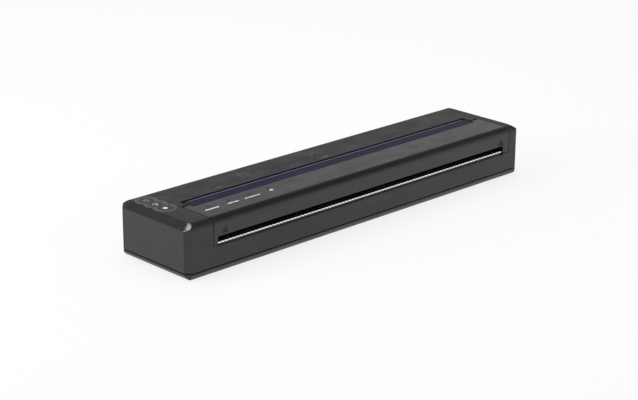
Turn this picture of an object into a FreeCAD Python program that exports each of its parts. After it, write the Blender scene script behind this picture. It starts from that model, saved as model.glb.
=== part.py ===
import FreeCAD, Part
import math
import os
import Sketcher

# A full-width portable thermal printer, in millimetres.
# X runs along the length, Y from the front to the rear, Z up from the desk that the feet rest on.
# The origin is under the middle of the case.

doc = FreeCAD.newDocument("PortablePrinter")

# Driving sizes
SIZES = (
    # Case
    ("case_length", 255.0), ("case_depth", 55.0), ("case_height", 30.0), ("wall", 2.0),
    ("corner_bevel", 3.0), ("top_radius", 4.0), ("end_run", 4.5), ("end_drop", 2.2),
    ("facet_drop", 2.66), ("facet_end_slope", 0.44), ("facet_side_slope", 0.12),
    ("foot_height", 0.4), ("tray_side", 3.3), ("tray_bevel", 2.4), ("tray_side_bevel", 1.7),
    ("seam_gap", 0.6), ("seam_depth", 1.4), ("overrun", 1.0),
    ("slide_gap", 0.3), ("seat_gap", 0.3), ("running_fit", 0.05), ("front_rise", 15.2),
    ("lip_depth", 1.3), ("lip_drop", 1.8),
    ("left_block", 17.1), ("right_block", 9.3), ("ear_left", 4.0), ("ear_right", 5.8),
    # Release cover and its hinge
    ("cover_gap", 0.4), ("hinge_setback", 23.5), ("hinge_drop", 1.7), ("hinge_pin_radius", 1.0),
    ("lug_length", 3.0), ("cover_edge_height", 19.9),
    ("tab_left", 2.5), ("tab_right", 4.8), ("cover_side_wall", 1.5), ("side_wall_drop", 3.0),
    ("step_setback", 2.4), ("carrier_floor", 1.4), ("carrier_rear", 6.2), ("carrier_top_drop", 1.1),
    ("carrier_rear_drop", 1.25), ("strip_side_gap", 0.5), ("strip_thickness", 0.95),
    ("strip_line", 0.15), ("strip_hang", 0.9), ("strip_corner", 1.5), ("strip_nose", 0.5),
    ("slot_reach", 8.1),
    # Platen roller
    ("platen_radius", 5.5), ("platen_core_radius", 2.0), ("platen_forward", 8.0),
    ("platen_drop", 8.3), ("platen_rubber_wall", 2.0), ("bushing_radius", 2.6),
    ("roller_end_gap", 0.6), ("arm_reach", 4.0), ("rib_gap", 0.8), ("rib_depth", 4.0),
    ("nose_gap", 1.7), ("nose_drop", 1.3), ("channel_depth", 6.9), ("arm_wall", 1.5),
    ("plate_gap", 0.3), ("plate", 1.0),
    # Chassis
    ("chassis_toe", 5.0), ("chassis_rear", 8.5), ("chassis_left_inset", 2.4),
    ("chassis_right_inset", 5.2), ("plate_toe", 5.0), ("plate_shoulder", 0.5),
    ("plate_shoulder_drop", 6.3), ("saddle_low_reach", 6.0),
    ("saddle_high_reach", 5.5), ("rear_flange_drop", 8.0), ("motor_plate_headroom", 3.0),
    # Thermal head, along and square to its own face
    ("head_front", 3.0), ("head_rear", 8.0), ("paper_gap", 0.2), ("substrate", 1.0),
    ("substrate_end", 7.0),
    ("heatsink", 3.0), ("head_end_gap", 3.0), ("head_pivot_along", 6.3), ("head_pin_radius", 0.8),
    ("head_bore_depth", 6.0), ("driver_cover_start", 3.6), ("driver_cover_end", 6.6),
    ("driver_cover_height", 0.6), ("connector_length", 34.0), ("connector_height", 2.2),
    ("connector_width", 3.0), ("connector_setback", 0.4), ("leaf", 0.4), ("leaf_width", 10.0),
    ("leaf_foot", 4.2), ("leaf_foot_setback", 1.3), ("ribbon_width", 28.0), ("ribbon", 0.3),
    ("ribbon_height", 1.6), ("ribbon_flat", 3.0),
    # Paper guides and tear bar
    ("guide_wall", 1.2), ("outlet_gap", 0.7), ("outlet_tail", 0.5), ("outlet_knee", 1.5),
    ("outlet_bar_seat", 16.05), ("bar_depth", 4.8), ("bar_thickness", 0.65), ("bar_setback", 0.2),
    ("bar_seat_setback", 0.6), ("tooth_pitch", 2.5), ("tooth_depth", 0.5),
    ("outlet_knee_rise", 0.2), ("inlet_wall", 1.2), ("inlet_drop", 1.5), ("inlet_toe", 4.6),
    ("inlet_toe_drop", 5.4), ("inlet_slope", 0.8), ("leg_wall", 1.4),
    # Motor and gears
    ("gear_module", 0.5), ("gear_width", 2.0), ("gear_gap", 0.4), ("gear_backlash", 0.12),
    ("stud_radius", 1.5), ("gear_step", 0.4), ("hub_radius", 3.2), ("idler_turn", 34.0),
    ("reduction_turn", -15.3), ("stud_tip", 0.1), ("platen_teeth", 22), ("idler_teeth", 24),
    ("reduction_small_teeth", 16), ("reduction_large_teeth", 32), ("pinion_teeth", 12),
    ("motor_radius", 10.0), ("motor_bore_depth", 8.0), ("motor_boss", 1.2), ("motor_length", 18.0),
    ("motor_shaft_radius", 1.0), ("motor_boss_radius", 3.0), ("motor_screw_reach", 8.2),
    # Battery
    ("battery_motor_gap", 2.0), ("battery_setback", 2.0),
    ("battery_bottom", 4.4), ("battery_headroom", 2.8), ("battery_wall", 1.1), ("cell_play", 0.2),
    ("cell_gap", 0.6), ("battery_corner", 1.2), ("terminal_inset", 32.0), ("terminal_width", 15.0),
    ("terminal_low", 8.0), ("terminal_high", 14.0), ("rail_width", 2.0),
    ("grip_length", 26.0), ("grip_height", 5.0), ("grip_depth", 0.7),
    # Keys
    ("key_from_end", 10.2), ("key_from_rear", 17.75), ("key_pitch", 7.7), ("key_radius", 3.2),
    ("key_clearance", 0.2), ("key_flange_radius", 3.6), ("key_flange", 0.9), ("key_travel", 0.5),
    ("key_gap", 0.2), ("key_recess_radius", 5.9), ("key_recess", 0.8), ("key_dip", 0.1),
    ("switch_width", 4.5), ("switch_play", 0.05),
    ("key_board_width", 8.8), ("key_board_end", 7.7), ("board", 1.0), ("key_board_drop", 2.5),
    ("key_post_radius", 1.7),
    # Boards and sockets
    ("main_board_front", 3.5), ("main_board_rear", 17.0), ("main_board_thickness", 1.6),
    ("main_board_height", 5.2), ("chip_height", 1.6), ("main_board_end_gap", 5.0), ("post_radius", 2.5),
    ("port_board_from_rear", 10.0), ("port_board_thickness", 1.5), ("port_board_headroom", 4.0),
    ("port_board_width", 11.0), ("socket_width", 9.0), ("usb_height", 3.2), ("usb_drop", 10.0),
    ("usb_shell", 0.4), ("power_socket_height", 9.0), ("power_middle", 10.0),
    ("power_bore_radius", 2.75), ("power_pin_radius", 1.0), ("socket_setback", 0.4),
    ("light_pipe_radius", 0.8), ("light_start", 10.0), ("light_pitch", 13.9),
    ("light_setback", 16.2), ("indicator_board_drop", 0.9),
    ("indicator_board_thickness", 0.8), ("indicator_board_width", 5.4), ("indicator_overhang", 4.0),
    ("indicator_boss_radius", 1.2),
    # Fasteners and feet
    ("screw_boss_radius", 2.6), ("screw_boss_headroom", 4.5), ("case_screw_radius", 1.1),
    ("case_screw_head_radius", 1.9), ("case_screw_head", 1.2), ("case_screw_length", 9.0),
    ("small_screw_radius", 0.9), ("small_screw_head_radius", 1.7), ("small_screw_head", 1.0),
    ("small_screw_bite", 1.2), ("foot_radius", 5.0), ("foot_seat", 0.6), ("foot_inset_x", 18.0),
    ("foot_inset_y", 10.5), ("front_boss_y", 7.0), ("rear_boss_setback", 18.5),
)


class Size(float):
    """A length that carries the sum it comes from, so that a property can be bound to it."""

    def __new__(cls, value, text):
        made = float.__new__(cls, value)
        made.text = text
        return made

    def __add__(self, other):
        return Size(float(self) + float(other), f"({self.text} + {text_of(other)})")

    def __radd__(self, other):
        return Size(float(other) + float(self), f"({text_of(other)} + {self.text})")

    def __sub__(self, other):
        return Size(float(self) - float(other), f"({self.text} - {text_of(other)})")

    def __rsub__(self, other):
        return Size(float(other) - float(self), f"({text_of(other)} - {self.text})")

    def __mul__(self, other):
        return Size(float(self) * float(other), f"({self.text} * {text_of(other)})")

    def __rmul__(self, other):
        return Size(float(other) * float(self), f"({text_of(other)} * {self.text})")

    def __truediv__(self, other):
        return Size(float(self) / float(other), f"({self.text} / {text_of(other)})")

    def __neg__(self):
        return Size(-float(self), f"(0 - {self.text})")


def smaller(first, second):
    """The lesser of two sizes, whichever that is after a change."""
    return Size(min(first, second), f"min({first.text}; {second.text})")


def text_of(value):
    """The sum behind a size, or the plain number of anything else."""
    return value.text if isinstance(value, Size) else repr(float(value))


sheet = doc.addObject("Spreadsheet::Sheet", "Sizes")
size = {}
for row, (alias, number) in enumerate(SIZES, start=1):
    sheet.set(f"A{row}", alias)
    sheet.set(f"B{row}", str(number))
    sheet.setAlias(f"B{row}", alias)
    size[alias] = Size(number, f"Sizes.{alias}")
doc.recompute()

wall = size["wall"]
overrun = size["overrun"]
seat_gap = size["seat_gap"]
slide_gap = size["slide_gap"]
running_fit = size["running_fit"]
plate = size["plate"]

AXES = {
    "X": FreeCAD.Rotation(FreeCAD.Vector(0, 1, 0), 90),
    "Y": FreeCAD.Rotation(FreeCAD.Vector(1, 0, 0), -90),
    "Z": FreeCAD.Rotation(),
}

# How many flats the small round things inside have, the heads and pins, and the large round things
FLAT_COUNT = 8
HEAD_COUNT = 12
FINE_COUNT = 24
LIGHT_COUNT = 4
CELL_COUNT = 3
CLOSE = 1e-4

pieces = []


def bind(thing, name, value):
    """Ties one property of an object to the sheet."""
    thing.setExpression(name, text_of(value))


def place(thing, x, y, z, rotation=None):
    """Puts an object's own origin at a point that follows the sheet."""
    thing.Placement = FreeCAD.Placement(FreeCAD.Vector(x, y, z), rotation or FreeCAD.Rotation())
    for letter, value in zip("xyz", (x, y, z)):
        bind(thing, f"Placement.Base.{letter}", value)
    return thing


def block(name, x, y, z):
    """A rectangular block between three pairs of limits."""
    made = doc.addObject("Part::Box", name)
    bind(made, "Length", x[1] - x[0])
    bind(made, "Width", y[1] - y[0])
    bind(made, "Height", z[1] - z[0])
    return place(made, x[0], y[0], z[0])


def rod(name, axis, centre, radius, start, end, flats=None):
    """A bar along one axis, round or with flats; the centre gives the other two coordinates."""
    made = doc.addObject("Part::Prism" if flats else "Part::Cylinder", name)
    bind(made, "Circumradius" if flats else "Radius", radius)
    if flats:
        made.Polygon = flats
    bind(made, "Height", end - start)
    first, second = centre
    spots = {"X": (start, first, second), "Y": (first, start, second), "Z": (first, second, start)}
    return place(made, *spots[axis], AXES[axis])


def join(name, parts):
    """One solid out of pieces that overlap or touch."""
    made = doc.addObject("Part::MultiFuse", name)
    made.Shapes = parts
    made.Refine = True
    return made


def carve(name, base, tools):
    """The base less every tool."""
    made = doc.addObject("Part::Cut", name)
    made.Base = base
    made.Tool = tools[0] if len(tools) == 1 else join(f"{name}_tools", tools)
    made.Refine = True
    return made


def meet(name, parts):
    """The space that all the pieces share."""
    made = doc.addObject("Part::MultiCommon", name)
    made.Shapes = parts
    made.Refine = True
    return made


def node(label, thing):
    """Marks an object as a finished piece under its everyday name."""
    thing.Label = label
    pieces.append(thing)
    return thing


def origin_plane(body, role):
    return next(item for item in body.Origin.OriginFeatures if item.Role == role)


def outline(body, role, points):
    """A closed sketch of straight lines on an origin plane, each corner tied to the sheet."""
    sketch = body.newObject("Sketcher::SketchObject", f"{body.Name}_outline")
    sketch.AttachmentSupport = [(origin_plane(body, role), "")]
    sketch.MapMode = "FlatFace"
    count = len(points)
    ends = [FreeCAD.Vector(across, up, 0) for across, up in points]
    sketch.addGeometry([Part.LineSegment(ends[k], ends[(k + 1) % count]) for k in range(count)])
    rules = [Sketcher.Constraint("Coincident", k, 2, (k + 1) % count, 1) for k in range(count)]
    for k, (across, up) in enumerate(points):
        rules.append(Sketcher.Constraint("DistanceX", k, 1, float(across)))
        rules.append(Sketcher.Constraint("DistanceY", k, 1, float(up)))
    sketch.addConstraint(rules)
    for k, (across, up) in enumerate(points):
        bind(sketch, f"Constraints[{count + 2 * k}]", across)
        bind(sketch, f"Constraints[{count + 2 * k + 1}]", up)
    return sketch


def pad(body, sketch, length):
    made = body.newObject("PartDesign::Pad", f"{body.Name}_pad")
    made.Profile = sketch
    bind(made, "Length", length)
    return made


def profile(name, points, start, end):
    """A body whose outline, seen along X, runs from one X to another."""
    body = doc.addObject("PartDesign::Body", name)
    body.Placement.Base = FreeCAD.Vector(start, 0, 0)
    bind(body, "Placement.Base.x", start)
    pad(body, outline(body, "YZ_Plane", points), end - start)
    return body


def length_profile(name, points, y):
    """A body whose outline, seen along Y, runs from one Y to another."""
    body = doc.addObject("PartDesign::Body", name)
    body.Placement.Base = FreeCAD.Vector(0, y[1], 0)
    bind(body, "Placement.Base.y", y[1])
    pad(body, outline(body, "XZ_Plane", points), y[1] - y[0])
    return body


def edges_where(shape, test):
    """The names of the edges whose two ends and middle pass a test."""
    names = []
    for index, edge in enumerate(shape.Edges, start=1):
        first, last = edge.ParameterRange
        spots = [edge.valueAt(first), edge.valueAt((first + last) / 2), edge.valueAt(last)]
        if test(spots):
            names.append(f"Edge{index}")
    return names


def round_edges(body, radius, test):
    """Rounds the edges of a body that pass a test, as a feature of that body."""
    doc.recompute()
    base = body.Tip
    made = body.newObject("PartDesign::Fillet", f"{body.Name}_round")
    made.Base = (base, edges_where(base.Shape, test))
    bind(made, "Radius", radius)
    return made


def bevel_edges(body, depth, test):
    """Bevels the edges of a body that pass a test, as a feature of that body."""
    doc.recompute()
    base = body.Tip
    made = body.newObject("PartDesign::Chamfer", f"{body.Name}_bevel")
    made.Base = (base, edges_where(base.Shape, test))
    bind(made, "Size", depth)
    return made


def near(value, target):
    return abs(float(value) - float(target)) < CLOSE


def upright(spots):
    """True for an edge that runs along Z."""
    return near(spots[0].x, spots[2].x) and near(spots[0].y, spots[2].y)


def line_at(y, z):
    """A test for edges that run along X at one point of the section."""
    return lambda spots: all(near(spot.y, y) and near(spot.z, z) for spot in spots)


def slab(name, x, y, z):
    """A block drawn as a plan outline and raised, ready for rounded corners."""
    body = doc.addObject("PartDesign::Body", name)
    corners = ((x[0], y[0]), (x[1], y[0]), (x[1], y[1]), (x[0], y[1]))
    body.Placement.Base = FreeCAD.Vector(0, 0, z[0])
    bind(body, "Placement.Base.z", z[0])
    pad(body, outline(body, "XY_Plane", corners), z[1] - z[0])
    return body


# Main planes of the case
left = -size["case_length"] / 2
right = size["case_length"] / 2
front = -size["case_depth"] / 2
rear = size["case_depth"] / 2
top = size["case_height"]
underside = size["foot_height"]
floor = underside + wall
rim = underside + size["tray_side"]
ceiling = top - wall

# The bay that the release cover closes, and the cover's own ends
bay = (left + size["left_block"], right - size["right_block"])
cover = (bay[0] + size["cover_gap"], bay[1] - size["cover_gap"])
hinge_y = front + size["hinge_setback"]
hinge_z = top - size["hinge_drop"]
ear_edge = hinge_y + size["hinge_drop"] + seat_gap
deck_edge = hinge_y + size["slot_reach"]
outlet_x = (cover[0] + size["tab_left"], cover[1] - size["tab_right"])
slot_bay = (bay[0] + size["ear_left"], bay[1] - size["ear_right"])

# Stations along the mechanism
plates = (bay[0] + size["chassis_left_inset"], bay[1] - size["chassis_right_inset"])
platen_y = hinge_y - size["platen_forward"]
platen_z = hinge_z - size["platen_drop"]
motor_face = plates[1] - plate
motor_start = motor_face - size["motor_length"]
battery_x = (cover[0], motor_start - size["battery_motor_gap"])
battery_z = (size["battery_bottom"], ceiling - size["battery_headroom"])
chassis_y = (hinge_y - size["chassis_toe"], hinge_y + size["chassis_rear"])
battery_front = chassis_y[1] + size["battery_setback"]

# Upper case: a moulded shell, open below, with blocks at both ends that carry the cover's hinge
def cornered_slab(name, amount, z):
    """The case's plan between two heights, drawn in by an amount, with its four corners bevelled."""
    body = slab(name, *inset(amount), z)
    bevel_edges(body, size["corner_bevel"] - amount / 2, upright)
    return body


def inset(amount):
    """The case's plan limits, drawn in by an amount."""
    return (left + amount, right - amount), (front + amount, rear - amount)


def case_form(name, amount, low, high):
    """The case's form drawn in by an amount: long top edges rounded, both ends sloping at the top."""
    x, y = inset(amount)
    run = size["end_run"] - amount
    end_top = high - size["end_drop"] + amount / 2
    side = profile(f"{name}_side", ((y[0], low - overrun), (y[0], high), (y[1], high),
                                    (y[1], low - overrun)), *x)
    for edge_y in y:
        round_edges(side, size["top_radius"] - amount, line_at(edge_y, high))
    ends = length_profile(f"{name}_ends", (
        (x[0], low - overrun), (x[0], end_top), (x[0] + run, high), (x[1] - run, high),
        (x[1], end_top), (x[1], low - overrun)), y)
    return [cornered_slab(f"{name}_plan", amount, (low, high)), side, ends]


def corner_tent():
    """A four-sided pyramid over the case, whose sides are the facets at its top corners."""
    slopes = (size["facet_end_slope"], size["facet_side_slope"])
    peak = top - size["facet_drop"] + right * slopes[0] + rear * slopes[1]
    reach_x, reach_y = ((peak - underside) / slope for slope in slopes)
    foot = [FreeCAD.Vector(x, y, underside)
            for x, y in ((reach_x, 0), (0, reach_y), (-reach_x, 0), (0, -reach_y), (reach_x, 0))]
    made = doc.addObject("Part::Feature", "corner_tent")
    made.Shape = Part.makeLoft([Part.makePolygon(foot), Part.Vertex(0, 0, peak)], True, True)
    return made


no_inset = Size(0, "0")
inside_x, inside_y = inset(wall)
shell = meet("case_outside", case_form("case", no_inset, rim + size["seam_gap"], top)
             + [corner_tent()])
skirt = cornered_slab("case_skirt", size["seam_depth"], (rim, rim + size["seam_gap"] + wall))
hollow = meet("case_hollow", case_form("room", wall, rim - overrun, ceiling))

boss_left = inside_x[0] + size["screw_boss_radius"] - seat_gap
boss_right = inside_x[1] - size["screw_boss_radius"] + seat_gap
boss_spots = (
    (boss_left, front + size["front_boss_y"]),
    (boss_left, rear - size["rear_boss_setback"]),
    (boss_right, front + size["front_boss_y"]),
    (boss_right, rear - size["front_boss_y"]),
)
key_x = left + size["key_from_end"]
key_middle = rear - size["key_from_rear"]
key_rows = tuple(key_middle + size["key_pitch"] * step for step in (1, 0, -1))
key_board_y = (key_rows[2] - size["key_board_end"], key_rows[0] + size["key_board_end"])
key_board_top = ceiling - size["key_board_drop"]
key_post_spots = (
    (key_x, key_board_y[0] + size["key_post_radius"]),
    (key_x, key_board_y[1] - size["key_post_radius"]),
)
port_x = (inside_x[0] + bay[0] - wall) / 2
usb_middle = top - size["usb_drop"]

walls = [
    block("left_inner_wall", (bay[0] - wall, bay[0]), (front + wall / 2, deck_edge),
          (rim, ceiling + wall / 2)),
    block("right_inner_wall", (bay[1], bay[1] + wall), (front + wall / 2, deck_edge),
          (rim, ceiling + wall / 2)),
]
bosses = [rod(f"case_boss_{k}", "Z", spot, size["screw_boss_radius"], rim,
              ceiling - size["screw_boss_headroom"], FLAT_COUNT) for k, spot in enumerate(boss_spots)]
key_posts = [rod(f"key_post_{k}", "Z", spot, size["key_post_radius"], key_board_top,
                 ceiling + wall / 2, FLAT_COUNT) for k, spot in enumerate(key_post_spots)]
moulding = join("case_moulding", [carve("case_walls", join("case_skin", [shell, skirt]), [hollow])]
                + walls + bosses + key_posts)
openings = [
    block("cover_bay", bay, (front - overrun, ear_edge), (size["front_rise"], top + overrun)),
    block("paper_bay", slot_bay, (ear_edge - overrun, deck_edge),
          (ceiling - wall, top + overrun)),
    block("battery_door", (battery_x[0] - slide_gap, battery_x[1] + slide_gap),
          (rear - wall - overrun, rear + overrun), (rim - overrun, battery_z[1] + slide_gap)),
    block("usb_window", (port_x - size["socket_width"] / 2 - running_fit,
                         port_x + size["socket_width"] / 2 + running_fit),
          (rear - wall - overrun, rear + overrun),
          (usb_middle - size["usb_height"] / 2 - running_fit,
           usb_middle + size["usb_height"] / 2 + running_fit)),
    rod("power_window", "Y", (port_x, size["power_middle"]),
        size["power_bore_radius"] + size["socket_setback"], rear - wall - overrun, rear + overrun,
        FINE_COUNT),
    profile("outlet_lip", (
        (front - overrun, size["front_rise"] + overrun),
        (front + size["lip_depth"], size["front_rise"] + overrun),
        (front + size["lip_depth"], size["front_rise"]),
        (front + size["lip_depth"] / 3, size["front_rise"] - size["lip_drop"] / 3),
        (front, size["front_rise"] - size["lip_drop"]),
        (front - overrun, size["front_rise"] - size["lip_drop"])), *outlet_x),
]
pin_bore = size["hinge_pin_radius"] + running_fit
openings += [
    rod("left_pin_bore", "X", (hinge_y, hinge_z), pin_bore, bay[0] - wall - overrun,
        bay[0] + overrun),
    rod("right_pin_bore", "X", (hinge_y, hinge_z), pin_bore, bay[1] - overrun,
        bay[1] + wall + overrun),
]
openings += [rod(f"key_hole_{k}", "Z", (key_x, y), size["key_radius"] + size["key_clearance"],
                 ceiling - overrun, top + overrun) for k, y in enumerate(key_rows)]
openings += [rod(f"key_recess_{k}", "Z", (key_x, y), size["key_recess_radius"],
                 top - size["key_recess"], top + overrun) for k, y in enumerate(key_rows)]
openings += [rod(f"case_pilot_{k}", "Z", spot, size["case_screw_radius"] + running_fit,
                 floor - overrun, underside + size["case_screw_head"] + size["case_screw_length"],
                 FLAT_COUNT) for k, spot in enumerate(boss_spots)]
node("upper_case", carve("upper_case", moulding, openings))

# Bottom tray: a shallow pan whose lower edge is bevelled all round
tray_edge = underside + size["tray_bevel"]
tray_pan = meet("tray_pan", [
    cornered_slab("tray_plan", no_inset, (underside, rim)),
    profile("tray_section", (
        (front, rim + overrun), (front, tray_edge), (front + size["tray_side_bevel"], underside),
        (rear - size["tray_side_bevel"], underside), (rear, tray_edge), (rear, rim + overrun)),
        left, right),
    length_profile("tray_length", (
        (left, rim + overrun), (left, tray_edge), (left + size["tray_bevel"], underside),
        (right - size["tray_bevel"], underside), (right, tray_edge), (right, rim + overrun)),
        (front, rear))])
tray_hollow = cornered_slab("tray_hollow", wall, (floor, rim + overrun))
board_x = (plates[0] + plate + size["main_board_end_gap"], plates[1] - size["main_board_end_gap"])
board_y = (front + size["main_board_front"], front + size["main_board_rear"])
board_span = board_x[1] - board_x[0]
post_shares = (0.04, 0.35, 0.65, 0.96)
post_spots = tuple((board_x[0] + board_span * share, board_y[0] + size["post_radius"])
                   for share in post_shares)
foot_spots = tuple((side * (right - size["foot_inset_x"]), end * (rear - size["foot_inset_y"]))
                   for side in (-1, 1) for end in (-1, 1))
rail_shares = (0.08, 0.5, 0.92)
battery_span = battery_x[1] - battery_x[0]
rail_middles = tuple(battery_x[0] + battery_span * share for share in rail_shares)
tray_posts = [rod(f"board_post_{k}", "Z", spot, size["post_radius"], floor - wall / 2,
                  size["main_board_height"], FLAT_COUNT) for k, spot in enumerate(post_spots)]
tray_posts += [rod(f"tray_boss_{k}", "Z", spot, size["screw_boss_radius"], floor - wall / 2, rim,
                   FLAT_COUNT) for k, spot in enumerate(boss_spots)]
tray_rails = [block(f"battery_rail_{k}", (x - size["rail_width"] / 2, x + size["rail_width"] / 2),
                    (battery_front, inside_y[1] - seat_gap),
                    (floor - wall / 2, size["battery_bottom"] - running_fit))
              for k, x in enumerate(rail_middles)]
chassis_screw_shares = (0.1, 0.36, 0.64, 0.9)
chassis_span = plates[1] - plates[0]
chassis_screw_spots = tuple((plates[0] + chassis_span * share,
                             chassis_y[0] + size["small_screw_head_radius"] + plate)
                            for share in chassis_screw_shares)
screw_bore = size["small_screw_radius"] + running_fit
tray_holes = [rod(f"foot_recess_{k}", "Z", spot, size["foot_radius"] + running_fit,
                  underside - overrun, underside + size["foot_seat"], FINE_COUNT)
              for k, spot in enumerate(foot_spots)]
tray_holes += [rod(f"board_pilot_{k}", "Z", spot, screw_bore, floor, size["main_board_height"]
                   + overrun, FLAT_COUNT) for k, spot in enumerate(post_spots)]
tray_holes += [rod(f"chassis_pilot_{k}", "Z", spot, screw_bore, floor - size["small_screw_bite"],
                   floor + overrun, FLAT_COUNT) for k, spot in enumerate(chassis_screw_spots)]
tray_holes += [rod(f"case_screw_hole_{k}", "Z", spot, size["case_screw_radius"] + running_fit,
                   underside - overrun, rim + overrun, FLAT_COUNT) for k, spot in enumerate(boss_spots)]
tray_holes += [rod(f"case_screw_seat_{k}", "Z", spot, size["case_screw_head_radius"] + running_fit,
                   underside - overrun, underside + size["case_screw_head"], HEAD_COUNT)
               for k, spot in enumerate(boss_spots)]
node("bottom_tray", carve("bottom_tray", join("tray_moulding", [
    carve("tray_walls", tray_pan, [tray_hollow])] + tray_posts + tray_rails), tray_holes))

# Feet and case screws
node("rubber_feet", join("rubber_feet", [
    rod(f"foot_{k}", "Z", spot, size["foot_radius"], Size(0, "0"), underside + size["foot_seat"],
        FINE_COUNT) for k, spot in enumerate(foot_spots)]))


def screws(name, spots, radius, head_radius, head, start, length, upward):
    """A set of round-headed screws along Z, whose heads end at one height."""
    made = []
    for k, spot in enumerate(spots):
        tip = start + length if upward else start - length
        back = start - head if upward else start + head
        made.append(rod(f"{name}_shank_{k}", "Z", spot, radius, *ordered(start, tip), FLAT_COUNT))
        made.append(rod(f"{name}_head_{k}", "Z", spot, head_radius, *ordered(start, back),
                        HEAD_COUNT))
    return join(name, made)


def ordered(first, second):
    return (first, second) if first < second else (second, first)


node("case_screws", screws("case_screws", boss_spots, size["case_screw_radius"],
                           size["case_screw_head_radius"], size["case_screw_head"] - running_fit,
                           underside + size["case_screw_head"],
                           size["case_screw_length"] - running_fit, True))

# Keypad: a glossy insert in the lobed recess, three keys, their switches and board
lobe = size["key_recess_radius"] - running_fit
bezel_holes = [rod(f"bezel_hole_{k}", "Z", (key_x, y), size["key_radius"] + size["key_clearance"],
                   top - size["key_recess"] - overrun, top + overrun)
               for k, y in enumerate(key_rows)]
bezel_lobes = [rod(f"bezel_lobe_{k}", "Z", (key_x, y), lobe, top - size["key_recess"],
                   top - size["key_dip"]) for k, y in enumerate(key_rows)]
node("keypad_bezel", carve("keypad_bezel", join("bezel_plate", bezel_lobes), bezel_holes))

flange_top = ceiling - size["key_gap"]
flange_bottom = flange_top - size["key_flange"]
switch_top = flange_bottom - size["key_travel"] - size["switch_play"]
key_names = ("power_key", "feed_key", "function_key")
for label, y in zip(key_names, key_rows):
    stem = rod(f"{label}_stem", "Z", (key_x, y), size["key_radius"], flange_bottom,
               top - size["key_dip"])
    flange = rod(f"{label}_flange", "Z", (key_x, y), size["key_flange_radius"], flange_bottom,
                 flange_top, HEAD_COUNT)
    node(label, join(label, [stem, flange]))

half_board = size["key_board_width"] / 2
node("key_board", block("key_board", (key_x - half_board, key_x + half_board), key_board_y,
                        (key_board_top - size["board"], key_board_top)))
half_switch = size["switch_width"] / 2
node("key_switches", join("key_switches", [
    block(f"switch_{k}", (key_x - half_switch, key_x + half_switch),
          (y - half_switch, y + half_switch), (key_board_top, switch_top))
    for k, y in enumerate(key_rows)]))

# Sockets in the rear wall of the left block, on a board that stands on the tray
port_board_front = rear - size["port_board_from_rear"]
port_y = (port_board_front, port_board_front + size["port_board_thickness"])
half_port = size["port_board_width"] / 2
node("port_board", block("port_board", (port_x - half_port, port_x + half_port), port_y,
                         (floor, ceiling - size["port_board_headroom"])))
half_socket = size["socket_width"] / 2
socket_back = rear - size["socket_setback"]
usb_low = usb_middle - size["usb_height"] / 2
usb_high = usb_middle + size["usb_height"] / 2
usb_block = slab("usb_block", (port_x - half_socket, port_x + half_socket),
                 (port_y[1], socket_back), (usb_low, usb_high))
usb_mouth = block("usb_mouth", (port_x - half_socket + size["usb_shell"],
                                port_x + half_socket - size["usb_shell"]),
                  (port_y[1] + wall, rear), (usb_low + size["usb_shell"],
                                             usb_high - size["usb_shell"]))
usb_tongue = block("usb_tongue", (port_x - half_socket / 2, port_x + half_socket / 2),
                   (port_y[1] + wall / 2, socket_back - size["usb_shell"]),
                   (usb_middle - size["usb_shell"] / 2,
                    usb_middle + size["usb_shell"] / 2))
node("usb_socket", join("usb_socket", [carve("usb_can", usb_block, [usb_mouth]), usb_tongue]))
power_half = size["power_socket_height"] / 2
power_back = rear - wall - seat_gap
power_block = block("power_block", (port_x - half_socket, port_x + half_socket),
                    (port_y[1], power_back),
                    (size["power_middle"] - power_half, size["power_middle"] + power_half))
power_bore = rod("power_bore", "Y", (port_x, size["power_middle"]), size["power_bore_radius"],
                 port_y[1] + wall, rear, FINE_COUNT)
power_pin = rod("power_pin", "Y", (port_x, size["power_middle"]), size["power_pin_radius"],
                port_y[1] + wall / 2, power_back - wall / 2, HEAD_COUNT)
node("power_socket", join("power_socket", [carve("power_case", power_block, [power_bore]),
                                           power_pin]))

# Release cover: the front and top skin, the shelf behind it for the blue strip, and two ears
cover_edge = size["cover_edge_height"]
tab_edge = size["front_rise"] + size["cover_gap"]
step_y = hinge_y - size["step_setback"]
shelf_rear = hinge_y + size["carrier_rear"]
shelf_low = hinge_z - size["carrier_floor"]
shelf_front_top = top - size["carrier_top_drop"]
shelf_rear_top = top - size["carrier_rear_drop"]
strip_x = (slot_bay[0] + size["strip_side_gap"], slot_bay[1] - size["strip_side_gap"])
ear_low = hinge_z - size["hinge_drop"]
skin_inside = front + wall

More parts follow.
